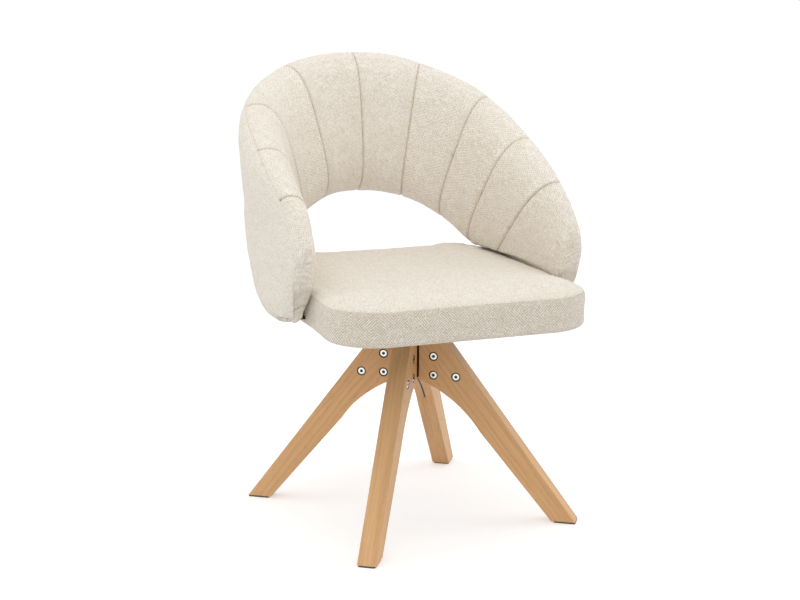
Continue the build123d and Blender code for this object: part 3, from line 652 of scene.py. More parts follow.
# ---- seat -------------------------------------------------------------------------------------------------
@dataclass
class SeatCushion:
    """The boxed seat: a crowned top panel sewn to a border that turns in under the board."""

    half: float = 0.236
    front: float = -0.298
    rear: float = 0.234
    front_corner: float = 0.095
    rear_corner: float = 0.090
    flare: float = 0.012
    flare_from: float = -0.120
    top: float = 0.4700
    bottom: float = 0.3955
    edge_round: float = 0.018
    edge_run: float = 0.0253
    bottom_round: float = 0.010
    seam_level: float = 0.457
    turn_in: float = 0.032
    crown: float = 0.0065
    bulge: float = 0.0060
    seam_depth: float = 0.0022
    seam_width: float = 0.0018
    stitch: float = 0.0065
    stitch_share: float = 0.25
    pressed_side: float = 0.215
    pressed_from: float = -0.185
    pressed_to: float = 0.150
    pressed_fade: float = 0.030
    trial_rings: float = 0.9
    rings: float = 0.80
    cells: int = 250
    walks: int = 960
    side_rows: int = 40
    dome: float = 0.55
    dome_left: float = 0.3
    top_lumps: Layers = ((0.0006, 0.055, 3), (0.00025, 0.016, 4))
    side_lumps: Layers = ((0.0007, 0.045, 5), (0.0003, 0.015, 6))
    pieces: list[Piece] = field(default_factory=list)

    def outline(self, place: Array) -> tuple[Array, Array]:
        """Follow the seat's outline.

        Args:
            place: 0 to 4, one unit for each side, from the middle of one corner to the next, starting at the
                front left corner and going anticlockwise.

        Returns:
            Points on the outline and their outward directions.
        """
        radii = (self.front_corner, self.front_corner, self.rear_corner, self.rear_corner)
        ends = (self.front, self.front, self.rear, self.rear)
        corners = [(side * self.half, end) for side, end in zip((-1, 1, 1, -1), ends)]
        centres = [(x - math.copysign(r, x), y - math.copysign(r, y)) for (x, y), r in zip(corners, radii)]
        points = np.zeros((*place.shape, 2))
        outward = np.zeros((*place.shape, 2))
        for side in range(4):
            mine = (np.floor(place).astype(int) % 4) == side
            start, end = side, (side + 1) % 4
            facing = side * math.pi / 2 - math.pi / 2
            arc_in, arc_out = radii[start] * math.pi / 4, radii[end] * math.pi / 4
            span = math.dist(centres[start], centres[end])
            run = (place[mine] % 1.0) * (arc_in + span + arc_out)
            angle = facing + np.clip((run - arc_in) / radii[start], -math.pi / 4, 0) \
                + np.clip((run - arc_in - span) / radii[end], 0, math.pi / 4)
            share = np.clip((run - arc_in) / span, 0, 1)[:, None]
            centre = np.array(centres[start]) * (1 - share) + np.array(centres[end]) * share
            radius = radii[start] * (1 - share) + radii[end] * share
            way = np.stack([np.cos(angle), np.sin(angle)], -1)
            points[mine] = centre + way * radius
            outward[mine] = way
        points[..., 0] *= self.widening(points[..., 1])
        return points, outward

    def widening(self, y: Array) -> Array:
        """Return how much wider the seat is at each place towards its front than between the wings."""
        share = np.clip((self.flare_from - y) / (self.flare_from - self.front), 0, 1)
        return 1 + self.flare / self.half * share

    def clearance(self, x: Array, y: Array) -> tuple[Array, Array]:
        """Measure how far points lie outside the outline.

        Args:
            x: Positions across the seat.
            y: Positions along the seat.

        Returns:
            Distances, negative inside, and the directions straight away from the outline.
        """
        x = x / self.widening(y)
        middle = (self.front + self.rear) / 2
        reach = (self.rear - self.front) / 2
        radius = np.where(y < middle, self.front_corner, self.rear_corner)
        over = np.stack([np.abs(x) - (self.half - radius), np.abs(y - middle) - (reach - radius)], -1)
        outside = np.maximum(over, 0)
        distance = np.linalg.norm(outside, axis=-1) + np.minimum(over.max(-1), 0) - radius
        side_on = over[..., 0] > over[..., 1]
        flat = np.stack([side_on.astype(float), (~side_on).astype(float)], -1)
        way = np.where((over.min(-1) > 0)[..., None], unit(outside), flat)
        return distance, way * np.stack([np.sign(x), np.sign(y - middle)], -1)

    @property
    def seam_angle(self) -> float:
        """Angle round the top edge at which the seam lies."""
        return math.asin((self.seam_level - self.top + self.edge_round) / self.edge_round)

    def top_points(self, cells: int, rings: float) -> tuple[Array, Array, Array]:
        """Lay the top panel out before it swells.

        Args:
            cells: Squares along one edge of the panel.
            rings: Share of the panel's rings that lies within the rounded edge.

        Returns:
            Points, the place of each between the middle (0), the rounded edge (1) and the seam (2), and the
            direction of each from the middle, as a place on the panel's edge from -1 to 1 each way.
        """
        line = np.linspace(-1, 1, cells + 1)
        grid = np.stack(np.meshgrid(line, line, indexing="ij"), -1)
        reach = np.maximum(np.abs(grid).max(-1), 1e-9)
        way = grid / reach[..., None]
        u, v = way[..., 0], way[..., 1]
        place = np.select([(v <= -1 + 1e-9), (u >= 1 - 1e-9), (v >= 1 - 1e-9)],
                          [(u + 1) / 2, 1 + (v + 1) / 2, 2 + (1 - u) / 2], 3 + (1 - v) / 2) % 4
        edge, outward = self.outline(place)
        where = np.where(reach < rings, reach / rings, 1 + (reach - rings) / (1 - rings))
        scale = np.minimum(where, 1.0)
        angle = math.pi / 2 + (self.seam_angle - math.pi / 2) * np.clip(where - 1, 0, 1)
        inset = self.edge_round * (1 - np.cos(angle))
        ring = edge - outward * inset[..., None]
        centre = np.array([0.0, (self.front + self.rear) / 2])
        flat = centre + (ring - centre) * scale[..., None]
        height = self.top - self.edge_round * (1 - np.sin(angle))
        return np.concatenate([flat, height[..., None]], -1), where, way

    def border_points(self, place: Array, drop: Array) -> Array:
        """Lay the border out before it swells.

        Args:
            place: Place round the outline, 0 to 4.
            drop: 0 at the seam, 1 at the lower round, 2 on the underside and 3 at the turned-in edge.

        Returns:
            Points.
        """
        edge, outward = self.outline(place)
        start = self.edge_round * (1 - math.cos(self.seam_angle))
        angle = np.clip(drop - 1, 0, 1) * math.pi / 2
        inset = start * np.clip(1 - 4 * drop, 0, 1) + self.bottom_round * (1 - np.cos(angle)) \
            + (self.turn_in - self.bottom_round) * np.clip(drop - 2, 0, 1)
        foot = self.bottom + self.bottom_round
        height = self.seam_level + (foot - self.seam_level) * np.clip(drop, 0, 1) \
            - self.bottom_round * np.sin(angle)
        return np.concatenate([edge - outward * inset[..., None], height[..., None]], -1)

    def freedom(self, points: Array) -> Array:
        """Return 0 where the back's wings press on the seat's side, and 1 elsewhere."""
        x, y = points[..., 0], points[..., 1]
        beside = np.clip((np.abs(x) - self.pressed_side) / (self.pressed_fade / 2), 0, 1)
        fade = self.pressed_fade
        within = np.clip((y - self.pressed_from) / fade, 0, 1) * np.clip((self.pressed_to - y) / fade, 0, 1)
        return 1 - beside * within

    def swollen(self, cells: int = 96, rows: int = 11) -> tuple[Array, Array]:
        """Blow up the cushion between its seams.

        Args:
            cells: Squares along one edge of the top panel.
            rows: Rows of squares down the border.

        Returns:
            Moves of the top panel's points and of the border's points.
        """
        top = self.top_points(cells, self.trial_rings)[0]
        walk = np.arange(4 * cells) / cells
        drops = np.concatenate([np.linspace(0, 1, rows + 1)[1:], (1.5, 2.0, 3.0)])
        border = self.border_points(*np.meshgrid(walk, drops, indexing="ij"))
        index = numbered(cells + 1, cells + 1)
        rim = np.concatenate([index[:-1, 0], index[-1, :-1], index[:0:-1, -1], index[0, :0:-1]])
        count, base = len(drops), index.size
        loops = np.concatenate([rim[:, None], base + numbered(4 * cells, count)], 1)
        hub = base + 4 * cells * count
        faces = [*squares(index, turned=False).tolist(), *squares(loops, closed=0).tolist(),
                 *fan(loops[:, -1], hub)]
        points = np.concatenate([top.reshape(-1, 3), border.reshape(-1, 3), [[0, -0.03, self.bottom]]])
        held = np.zeros(len(points), bool)
        for fast in (rim, loops[:, rows:].ravel(), hub):
            held[fast] = True
        moves = StuffedSkin().swell(points, faces, held)
        LOG.info("seat cushion swells by up to %.1f mm", 1000 * np.linalg.norm(moves, axis=1).max())
        return moves[index], moves[loops]

    def build(self) -> None:
        """Build the top panel and the border."""
        top_moves, side_moves = self.swollen()
        self._build_top(top_moves)
        self._build_border(side_moves)

    def _build_top(self, moves: Array) -> None:
        """Build the top panel at full detail.

        Args:
            moves: Moves of the trial panel's points.
        """
        points, where, way = self.top_points(self.cells, self.rings)
        share = self.trial_rings
        trial = np.where(where < 1, where * share, share + (where - 1) * (1 - share))
        spot = (way * trial[..., None] + 1) / 2 * (moves.shape[0] - 1)
        calm = np.clip(1 - 0.6 * (where - 1), 0.3, 1)
        move = capped(sample(moves, spot[..., 0], spot[..., 1]), self.crown * calm)
        dome = self.crown * self.dome * (1 - np.clip(where / 1.2, 0, 1) ** 2.4)
        points = points + move
        points[..., 2] += (dome * self.dome_left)
        slope = unit(np.cross(np.gradient(points, axis=0), np.gradient(points, axis=1)))
        run = (2 - where) * self.edge_run
        seam = groove(run, self.seam_width)
        sink = self.seam_depth * seam * stitched(points[..., :2].sum(-1), self.stitch, self.stitch_share)
        lumps = lumpy(points, self.top_lumps) * np.clip(run / 0.01, 0, 1)
        points = points + slope * (lumps - sink)[..., None]
        faces = squares(numbered(*points.shape[:2]), turned=False)
        fall = np.maximum(where - 1, 0) * self.edge_run * 0.45
        cloth = points[..., :2] + self.clearance(points[..., 0], points[..., 1])[1] * fall[..., None]
        # The seam nearness also sets the cloth's painted shade along the seam.
        cloth = np.concatenate([cloth, seam[..., None]], -1)
        self.pieces.append(sewn("seat_top_panel", points, faces, cloth))

    def _build_border(self, moves: Array) -> None:
        """Build the border and the strip turned in under the board at full detail.

        Args:
            moves: Moves of the trial border's points.
        """
        rows = spread(self.side_rows, 0.75)
        drops = np.concatenate([rows, np.linspace(1, 2, 9)[1:], np.linspace(2, 3, 5)[1:]])
        place, drop = np.meshgrid(np.arange(self.walks + 1) / self.walks * 4, drops, indexing="ij")
        points = self.border_points(place % 4, drop)
        count, last = moves.shape[0], moves.shape[1] - 4
        wrapped = np.concatenate([moves, moves[:1]], 0)
        free = self.freedom(points)
        move = capped(sample(wrapped, place / 4 * count, np.clip(drop, 0, 1) * last),
                      self.bulge * np.maximum(free, 0.02))
        points = points + move * np.clip(2 - drop, 0, 1)[..., None]
        way = self.clearance(points[..., 0], points[..., 1])[1]
        run = np.clip(drop, 0, 1) * (self.seam_level - self.bottom - self.bottom_round)
        length = np.broadcast_to(walked(points[:, 0])[:, None], run.shape)
        seam = groove(run, self.seam_width)
        sink = self.seam_depth * seam * stitched(length, self.stitch, self.stitch_share)
        lumps = lumpy(points, self.side_lumps) * free
        fade = np.clip(run / 0.008, 0, 1) * np.clip((1.6 - drop) / 0.6, 0, 1)
        points[..., :2] += way * (lumps * fade - sink)[..., None]
        faces = squares(numbered(*points.shape[:2]))
        # The seam nearness also sets the cloth's painted shade along the seam.
        cloth = np.stack([length, walked(points, 1), seam], -1)
        self.pieces.append(sewn("seat_border", points, faces, cloth))

    def dress(self, top_cloth: WovenCloth, border_cloth: WovenCloth) -> None:
        """Give the cushion its cloth and its place in the model.

        Args:
            top_cloth: Cloth of the top panel.
            border_cloth: Cloth of the border.
        """
        for piece, cloth in zip(self.pieces, (top_cloth, border_cloth)):
            upholster(piece, cloth.material())
        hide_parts("seat_foam")
        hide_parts("seat_cover")


# ---- hoop back --------------------------------------------------------------------------------------------
@dataclass
class HoopBack:
    """The padded hoop: an inner cover sewn in channels over rim and arch, and a plain outer panel."""

    seat: SeatCushion
    rim: Line = (
        (0, .335, .850), (.125, .326, .833), (.229, .227, .781), (.258, .066, .703),
        (.257, -.088, .626), (.256, -.166, .549), (.256, -.154, .481), (.254, -.113, .422))
    arch: Line = (
        (0, .297, .570), (.075, .279, .562), (.150, .243, .527), (.218, .195, .470),
        (.252, .126, .425), (.264, .039, .400), (.262, -.042, .397), (.256, -.088, .405))
    pad_inner: tuple[float, ...] = (.060, .060, .054, .054, .046, .034, .025, .012)
    pad_outer: tuple[float, ...] = (.038, .045, .052, .046, .033, .029, .025, .013)
    square: float = 3.4
    round: float = 2.2
    seam_from_rim: tuple[float, ...] = (.008, .008, .007, .006, .016, .024, .016, .006)
    seam_from_arch: float = 0.024
    # How deep, and how strongly painted with shade, the covers' edge seams are at each station.
    seam_show: tuple[float, ...] = (1.0, 1.0, 1.0, 0.8, 0.25, 0.15, 0.7, 0.8)
    seams: tuple[float, ...] = (-3.94, -3.06, -2.215, -1.173, 0.0, 1.173, 2.215, 3.06, 3.94)
    inset: float = 0.0032
    puff: float = 0.0052
    seam_depth: float = 0.0040
    seam_width: float = 0.0019
    edge_depth: float = 0.7
    stitch: float = 0.0070
    stitch_share: float = 0.22
    seat_top: float = 0.472
    seat_gap: float = 0.0008
    tip: int = 7
    held_tip: float = 6.7
    held_near: float = 0.004
    held_over: float = 0.008
    trial_inner: int = 60
    columns: int = 30
    inner: int = 156
    outer: int = 84
    lumps: Layers = ((0.0007, 0.060, 11), (0.0003, 0.018, 12))
    cap: Spots = ((1.0, 0.0), (0.88, 0.0028), (0.62, 0.0052), (0.30, 0.0062))
    cap_height: float = 0.0066
    pieces: list[Piece] = field(default_factory=list)

    def crest(self, points: Line, station: Array) -> Array:
        """Follow a crest line from the left wing's tip over the back to the right wing's tip.

        Args:
            points: The line's points from the middle of the back to the right tip.
            station: Places on the line, 0 at the middle of the back.

        Returns:
            Points on the line.
        """
        right = np.array(points)
        line = np.concatenate([right[:0:-1] * (-1, 1, 1), right])
        return sample(line[:, None].repeat(2, 1), station + len(points) - 1, np.zeros_like(station))

    def sections(self, station: Array) -> tuple[Array, ...]:
        """Return the sections' middles, half heights, directions to the rim and directions outward."""
        rim, arch = self.crest(self.rim, station), self.crest(self.arch, station)
        ahead, behind = (self.crest(self.rim, station + step) + self.crest(self.arch, station + step)
                         for step in (0.01, -0.01))
        up = unit(rim - arch)
        outward = unit(np.cross(up, ahead - behind))
        return (rim + arch) / 2, np.linalg.norm(rim - arch, axis=-1) / 2, up, outward

    def along_hoop(self, values: Sequence[float], station: Array) -> Array:
        """Return a value at each station that changes smoothly from the middle of the back to both tips."""
        line = np.array([*values[:0:-1], *values])[:, None, None].repeat(2, 1)
        return sample(line, station + len(values) - 1, np.zeros_like(station))[:, 0]

    def flat_section(self, station: Array, angle: Array) -> Array:
        """Return points of the sections as (towards the rim, outward).

        Args:
            station: Stations, one for each section.
            angle: Angles, one row for each section: 0 at the rim, a quarter turn outward.

        Returns:
            Points in the section's own plane.
        """
        half = self.sections(station)[1]
        inner, outer = self.along_hoop(self.pad_inner, station), self.along_hoop(self.pad_outer, station)
        cosine, sine = np.cos(angle), np.sin(angle)
        thick = np.where(sine > 0, outer[:, None], inner[:, None]) - self.inset
        along = np.sign(cosine) * np.abs(cosine) ** (2 / self.square) * (half[:, None] - self.inset)
        return np.stack([along, np.sign(sine) * np.abs(sine) ** (2 / self.round) * thick], -1)

    def angles(self, station: Array, inner_rows: Array, outer_rows: Array) -> Array:
        """Space the rows of the two covers evenly round each section.

        Args:
            station: Stations.
            inner_rows: Fractions from the upper seam over rim, inside and arch to the lower seam.
            outer_rows: Fractions from the upper seam over the outside to the lower seam.

        Returns:
            Angles, one row for each section.
        """
        half = self.sections(station)[1]
        high = np.maximum(half - self.along_hoop(self.seam_from_rim, station), 0.3 * half) / half
        low = np.maximum(half - self.seam_from_arch, 0.3 * half) / half
        upper, lower = np.arccos(high ** (self.square / 2)), math.pi - np.arccos(low ** (self.square / 2))
        parts = []
        for end, fractions in ((lower - 2 * math.pi, inner_rows), (lower, outer_rows)):
            sweep = upper[:, None] + (end - upper)[:, None] * np.linspace(0, 1, 700)
            run = walked(self.flat_section(station, sweep), 1)
            parts.append(np.stack([np.interp(fractions * r[-1], r, a) for r, a in zip(run, sweep)]))
        return np.concatenate([parts[0], parts[1][:, ::-1][:, 1:]], 1)

    def shell(self, station: Array, angle: Array) -> Array:
        """Return the cover's points before it swells."""
        middle, _, up, outward = self.sections(station)
        flat = self.flat_section(station, angle)
        return middle[:, None] + up[:, None] * flat[..., :1] + outward[:, None] * flat[..., 1:]

    def clear_of_seat(self, points: Array) -> Array:
        """Press the wings' inner sides flat against the seat.

        Args:
            points: Points of the cover.

        Returns:
            The points, moved outward where they would lie in the seat.
        """
        seat = self.seat
        distance, way = seat.clearance(points[..., 0], points[..., 1])
        rise = np.maximum(points[..., 2] - (self.seat_top - seat.edge_round), 0)
        reach = seat.edge_round + self.seat_gap
        need = np.sqrt(np.maximum(reach ** 2 - rise ** 2, 0)) - seat.edge_round
        push = np.where(rise < reach, np.maximum(need - distance, 0), 0)
        moved = points.copy()
        moved[..., :2] += way * push[..., None]
        return moved

    def swollen(self, inner: int, columns: int = 12, outer: int = 32) -> Array:
        """Blow up the covers between their seams.

        Args:
            inner: Rows of squares of the inner cover.
            columns: Columns of squares from one station to the next.
            outer: Rows of squares of the outer panel.

        Returns:
            Moves of the trial cover's points.
        """
        station = np.linspace(-self.tip, self.tip, 2 * self.tip * columns + 1)
        angle = self.angles(station, np.linspace(0, 1, inner + 1), np.linspace(0, 1, outer + 1))[:, :-1]
        points = self.clear_of_seat(self.shell(station, angle))
        index = numbered(*points.shape[:2])
        flat = np.concatenate([points.reshape(-1, 3), points[:1].mean(1), points[-1:].mean(1)])
        faces = squares(index, turned=False, closed=1).tolist()
        faces += [[first, third, second] for first, second, third in fan(index[0], index.size)]
        faces += [[third, first, second] for first, second, third in fan(index[-1], index.size + 1)]
        held = np.zeros(index.shape, bool)
        held[:, [0, inner]] = True
        for seam in self.seams:
            held[round((seam + self.tip) * columns), :inner + 1] = True
        held[np.abs(station) > self.held_tip] = True
        distance, _ = self.seat.clearance(points[..., 0], points[..., 1])
        held |= (distance < self.held_near) & (points[..., 2] < self.seat_top + self.held_over)
        moves = StuffedSkin().swell(flat, faces, np.append(held, [True, True]))
        LOG.info("hoop covers swell by up to %.1f mm", 1000 * np.linalg.norm(moves, axis=1).max())
        return moves[:-2].reshape(points.shape)

    def build(self) -> None:
        """Build both covers at full detail from the swollen trial cover."""
        trial = self.trial_inner
        moves = self.swollen(inner=trial)
        stops = [-self.tip, *self.seams, self.tip]
        parts = [low + (high - low) * spread(round(self.columns * (high - low)), 0.82)[:-1]
                 for low, high in zip(stops, stops[1:])]
        station = np.concatenate([*parts, [float(self.tip)]])
        inner = self.inner
        rows_in, rows_out = spread(inner, 0.45), spread(self.outer, 0.70)
        points = self.shell(station, self.angles(station, rows_in, rows_out))
        column = (station + self.tip) / (2 * self.tip) * (len(moves) - 1)
        line = np.concatenate([rows_in * trial, trial + (1 - rows_out)[::-1][1:] * (moves.shape[1] - trial)])
        wrapped = np.concatenate([moves, moves[:, :1]], 1)
        swell = capped(sample(wrapped, *np.meshgrid(column, line, indexing="ij")), self.puff)
        out = unit(np.cross(np.gradient(points, axis=1), np.gradient(points, station, axis=0)))
        points = points + outward_only(swell, out)
        along = np.gradient(points, station, axis=0)
        length = np.linalg.norm(along, axis=-1)
        normal = unit(np.cross(np.gradient(points, axis=1), along))
        run = walked(points, 1)
        gap = np.abs(station[:, None] - np.array(self.seams)).min(1)[:, None] * length
        gap[:, inner + 1:] = np.inf
        edge = np.min([np.abs(run - run[:, [row]]) for row in (0, inner, -1)], axis=0)
        edge_show = self.edge_depth * self.along_hoop(self.seam_show, station)[:, None]
        channel = groove(gap, self.seam_width)
        sink = self.seam_depth * np.maximum(channel * stitched(run, self.stitch, self.stitch_share),
                                            edge_show * groove(edge, self.seam_width * 0.85))
        lumps = lumpy(points, self.lumps)
        calm = np.clip(np.minimum(gap, edge) / 0.012, 0, 1)
        points = self.clear_of_seat(points + normal * (lumps * calm - sink)[..., None])
        # How near each point lies to a seam; the cloth paints shade along the seams by it.
        near = np.maximum(channel, edge_show * groove(edge, self.seam_width))
        self._split(points, station, run, length, near)

    def laid_flat(self, station: Array, part: Array, run: Array, climb: int) -> Array:
        """Lay a cover flat, so that its weave stays straight over a whole wing.

        Args:
            station: Stations.
            part: The cover's points, one row of points for each section.
            run: Distance of each point round its section.
            climb: 1 where the points go up towards the rim, -1 where they go down.

        Returns:
            Two coordinates of each point on the flat cloth.
        """
        row = part.shape[1] // 2
        line = part[:, row]
        up = self.sections(station)[2]
        ahead = unit(np.gradient(line[:, :2], axis=0))
        lean = unit(np.stack([(up[:, :2] * ahead).sum(-1), up[:, 2]], -1))
        reach = climb * (run - run[:, row:row + 1])
        return np.stack([walked(line[:, :2]), line[:, 2]], -1)[:, None] + reach[..., None] * lean[:, None]

    def _split(self, points: Array, station: Array, run: Array, length: Array, near: Array) -> None:
        """Cut the finished cover into its two pieces along the seams, and close the tips.

        Args:
            points: Finished points, one row of points for each section.
            station: Stations.
            run: Distance of each point round its section.
            length: Length of one station at each point.
            near: How near each point lies to a seam, from 0 to 1.
        """
        stops = np.array([-self.tip, *self.seams, self.tip])
        panel = np.clip(np.searchsorted(stops, (station[:-1] + station[1:]) / 2) - 1, 0, len(stops) - 2)
        middle = (stops[panel] + stops[panel + 1]) / 2
        broad = (panel == 0) | (panel == len(stops) - 2)
        for name, first, last in (("back_inner_cover_sewn", 0, self.inner),
                                  ("back_outer_panel_sewn", self.inner, self.inner + self.outer)):
            part, around, wide, seam = (grid[:, first:last + 1] for grid in (points, run, length, near))
            faces = squares(numbered(*around.shape))
            weave = self.laid_flat(station, part, around, 1 if first else -1).reshape(-1, 2)[faces]
            if first == 0:
                rows = last - first
                across = np.repeat(station, rows + 1)[faces] - np.repeat(middle, rows)[:, None]
                panels = np.stack([across * wide.ravel()[faces], around.ravel()[faces]], -1)
                weave = np.where(np.repeat(broad, rows)[:, None, None], weave, panels)
            weave = np.concatenate([weave, seam.ravel()[faces][..., None]], -1).reshape(-1, 3)
            flat, faces = part.reshape(-1, 3), faces.tolist()
            if first == 0:
                flat, faces, weave = self._close_tips(points, flat, faces, weave)
            self.pieces.append(make_mesh(name, flat, faces, weave))

    def _close_tips(self, points: Array, flat: Array, faces: Faces, weave: Array
                    ) -> tuple[Array, Faces, Array]:
        """Close the wings' small lower ends with rounded caps.

        Args:
            points: All finished points.
            flat: The inner cover's points.
            faces: Its faces.
            weave: Its cloth coordinates.

        Returns:
            The points, faces and cloth coordinates with the caps.
        """
        for end, step in ((0, 1), (-1, -2)):
            ring = points[end, :-1]
            centre = ring.mean(0)
            out = unit((ring - points[step, :-1]).mean(0))
            rows = len(flat) + numbered(len(self.cap), len(ring))
            layers = [centre + (ring - centre) * scale + out * rise for scale, rise in self.cap]
            flat = np.concatenate([flat, *layers, [centre + out * self.cap_height]])
            made = squares(rows, turned=False, closed=1).tolist() + fan(rows[-1], len(flat) - 1)
            if end:
                made = [face[::-1] for face in made]
            faces = faces + made
            spots = flat[[number for face in made for number in face]]
            weave = np.concatenate([weave, np.stack([spots[:, 1], spots[:, 0], np.zeros(len(spots))], -1)])
        return flat, faces, weave

    def dress(self, cloth: WovenCloth) -> None:
        """Give the covers their cloth and their place in the model.

        Args:
            cloth: The cloth of both covers.
        """
        material = cloth.material()
        for piece in self.pieces:
            upholster(piece, material)
        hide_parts("back_inner_cover", "back_foam")
        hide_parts("back_outer_cover")


# ---- underside --------------------------------------------------------------------------------------------
@dataclass
class DustCloth:
    """The black cloth stapled under the seat, with a round window for the swivel."""

    seat: SeatCushion
    margin: float = 0.014
    window: float = 0.128
    level: float = 0.3949
    sag: float = 0.0006
    bolt_hole: float = 0.0068
    thickness: float = 0.0005
    staple_step: int = 10
    staple_inset: float = 0.006
    staple_half: float = 0.0045
    staple_lean: float = 0.25
    staple_sink: float = 0.0003
    wire_half: float = 0.0006
    wire_height: float = 0.0007
    bolt_spots: Spots = tuple(
        (side * x, y) for side in (1, -1) for x in (0.168, 0.204) for y in (-0.075, 0.010))
    pieces: list[Piece] = field(default_factory=list)

    def build(self) -> None:
        """Build the cloth and the staples."""
        walks, rows = 480, 60
        edge, outward = self.seat.outline(np.arange(walks) / walks * 4)
        edge = edge - outward * self.margin
        hole = self.window * unit(edge)
        share = np.linspace(0, 1, rows + 1)
        place = edge[:, None] + (hole - edge)[:, None] * share[None, :, None]
        points = np.concatenate([place, np.zeros((walks, rows + 1, 1))], -1)
        sag = self.sag * np.sin(math.pi * share) * (1 + 0.6 * ripple(points, 0.09, 21))
        points[..., 2] = self.level - np.maximum(sag, 0)
        points = points.reshape(-1, 3)
        faces = squares(numbered(walks, rows + 1), closed=0)
        middles = points[faces].mean(1)[:, :2]
        near = np.min([np.linalg.norm(middles - spot, axis=1) for spot in self.bolt_spots], axis=0)
        cloth = make_mesh("seat_underside_cloth", points, faces[near > self.bolt_hole].tolist())
        thick = cloth.modifiers.new("thickness", "SOLIDIFY")
        thick.thickness = self.thickness
        thick.offset = 0.0
        self.pieces.append(cloth)
        self._staples(edge, outward)

    def _staples(self, edge: Array, outward: Array) -> None:
        """Build the staples along the cloth's edge.

        Args:
            edge: The cloth's outer edge.
            outward: Its outward directions.
        """
        points, faces = [], []
        for number in range(0, len(edge), self.staple_step):
            way, across = outward[number], np.array([-outward[number][1], outward[number][0]])
            middle = edge[number] - way * self.staple_inset
            lean = self.staple_lean * math.sin(number * 1.7)
            run = across * math.cos(lean) + way * math.sin(lean)
            side = np.array([-run[1], run[0]])
            a = len(points)
            for end in (-1, 1):
                for wide, drop in ((-1, 0), (-1, self.wire_height), (1, self.wire_height), (1, 0)):
                    flat = middle + run * end * self.staple_half + side * wide * self.wire_half
                    points.append((*flat, self.level - self.staple_sink - drop))
            faces += [[a, a + 1, a + 5, a + 4], [a + 1, a + 2, a + 6, a + 5], [a + 2, a + 3, a + 7, a + 6],
                      [a, a + 3, a + 2, a + 1], [a + 4, a + 5, a + 6, a + 7], [a, a + 4, a + 7, a + 3]]
        self.pieces.append(make_mesh("underside_staples", np.array(points), faces))

    def dress(self, cloth: FeltedCloth, staples: PlatedMetal) -> None:
        """Give the cloth and staples their finish and place.

        Args:
            cloth: The cloth's finish.
            staples: The staples' finish.
        """
        sheet, pins = self.pieces
        dress(sheet, cloth.material())
        dress(pins, staples.material())
        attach(sheet, "seat")
        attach(pins, "seat")
        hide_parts("seat_dust_cover")


# ---- base and hardware ------------------------------------------------------------------------------------
@dataclass
class OakBase:
    """The four splayed oak legs with their bolts, hub and swivel."""

    first_turn: float = math.radians(-35.4)
    lean: float = math.radians(36.8)
    bolts: Spots = ((0.048, 0.306), (0.048, 0.270), (0.091, 0.269))
    corners: tuple[str, ...] = ("front_right", "rear_right", "rear_left", "front_left")

    def dress(self, nodes: dict[str, Piece]) -> None:
        """Give the frame's own parts their finishes.

        Args:
            nodes: The frame's parts by name.
        """
        plastic = MouldedPlastic("glide_plastic", (0.075, 0.047, 0.030)).material()
        for number, corner in enumerate(self.corners):
            oak = Oak(f"oak_{corner}", self.first_turn + number * math.pi / 2, self.lean, self.bolts)
            dress(nodes[f"{corner}_leg"], oak.material())
            dress(nodes[f"{corner}_glide"], plastic)
        finishes = {
            PlatedMetal("bright_nickel", (0.80, 0.79, 0.76), 0.24, turn=self.first_turn,
                        sockets=self.bolts): ("leg_bolts", "leg_sleeve_nuts"),
            PlatedMetal("black_powder_coat", (0.012, 0.012, 0.013), 0.46, 0.0, 1400.0, 0.00008): (
                *(f"{corner}_hub_fin" for corner in self.corners), "hub_tube", "hub_flange",
                *(f"{level}_{part}" for level in ("lower", "upper") for part in ("swivel_plate", "race")),
                "back_rim_tube", "back_arch_tube", "back_struts",
                *(f"{side}_{part}" for side in ("right", "left")
                  for part in ("wing_plate", "front_wing_bracket", "rear_wing_bracket"))),
            PlatedMetal("zinc_plate", (0.62, 0.63, 0.64), 0.34): (
                "flange_screws", "flange_nuts", "pivot_bolt", "pivot_washer", "pivot_lock_nut", "race_balls",
                "seat_screws", "seat_tee_nuts", "bracket_bolts", "bracket_weld_nuts", "wing_rivets"),
            MouldedPlastic("nylon", (0.74, 0.72, 0.66), 0.42): ("ball_cage", "pivot_bush"),
            RawPlywood("plywood"): ("seat_board",),
        }
        for finish, names in finishes.items():
            material = finish.material()
            for name in names:
                dress(nodes[name], material)


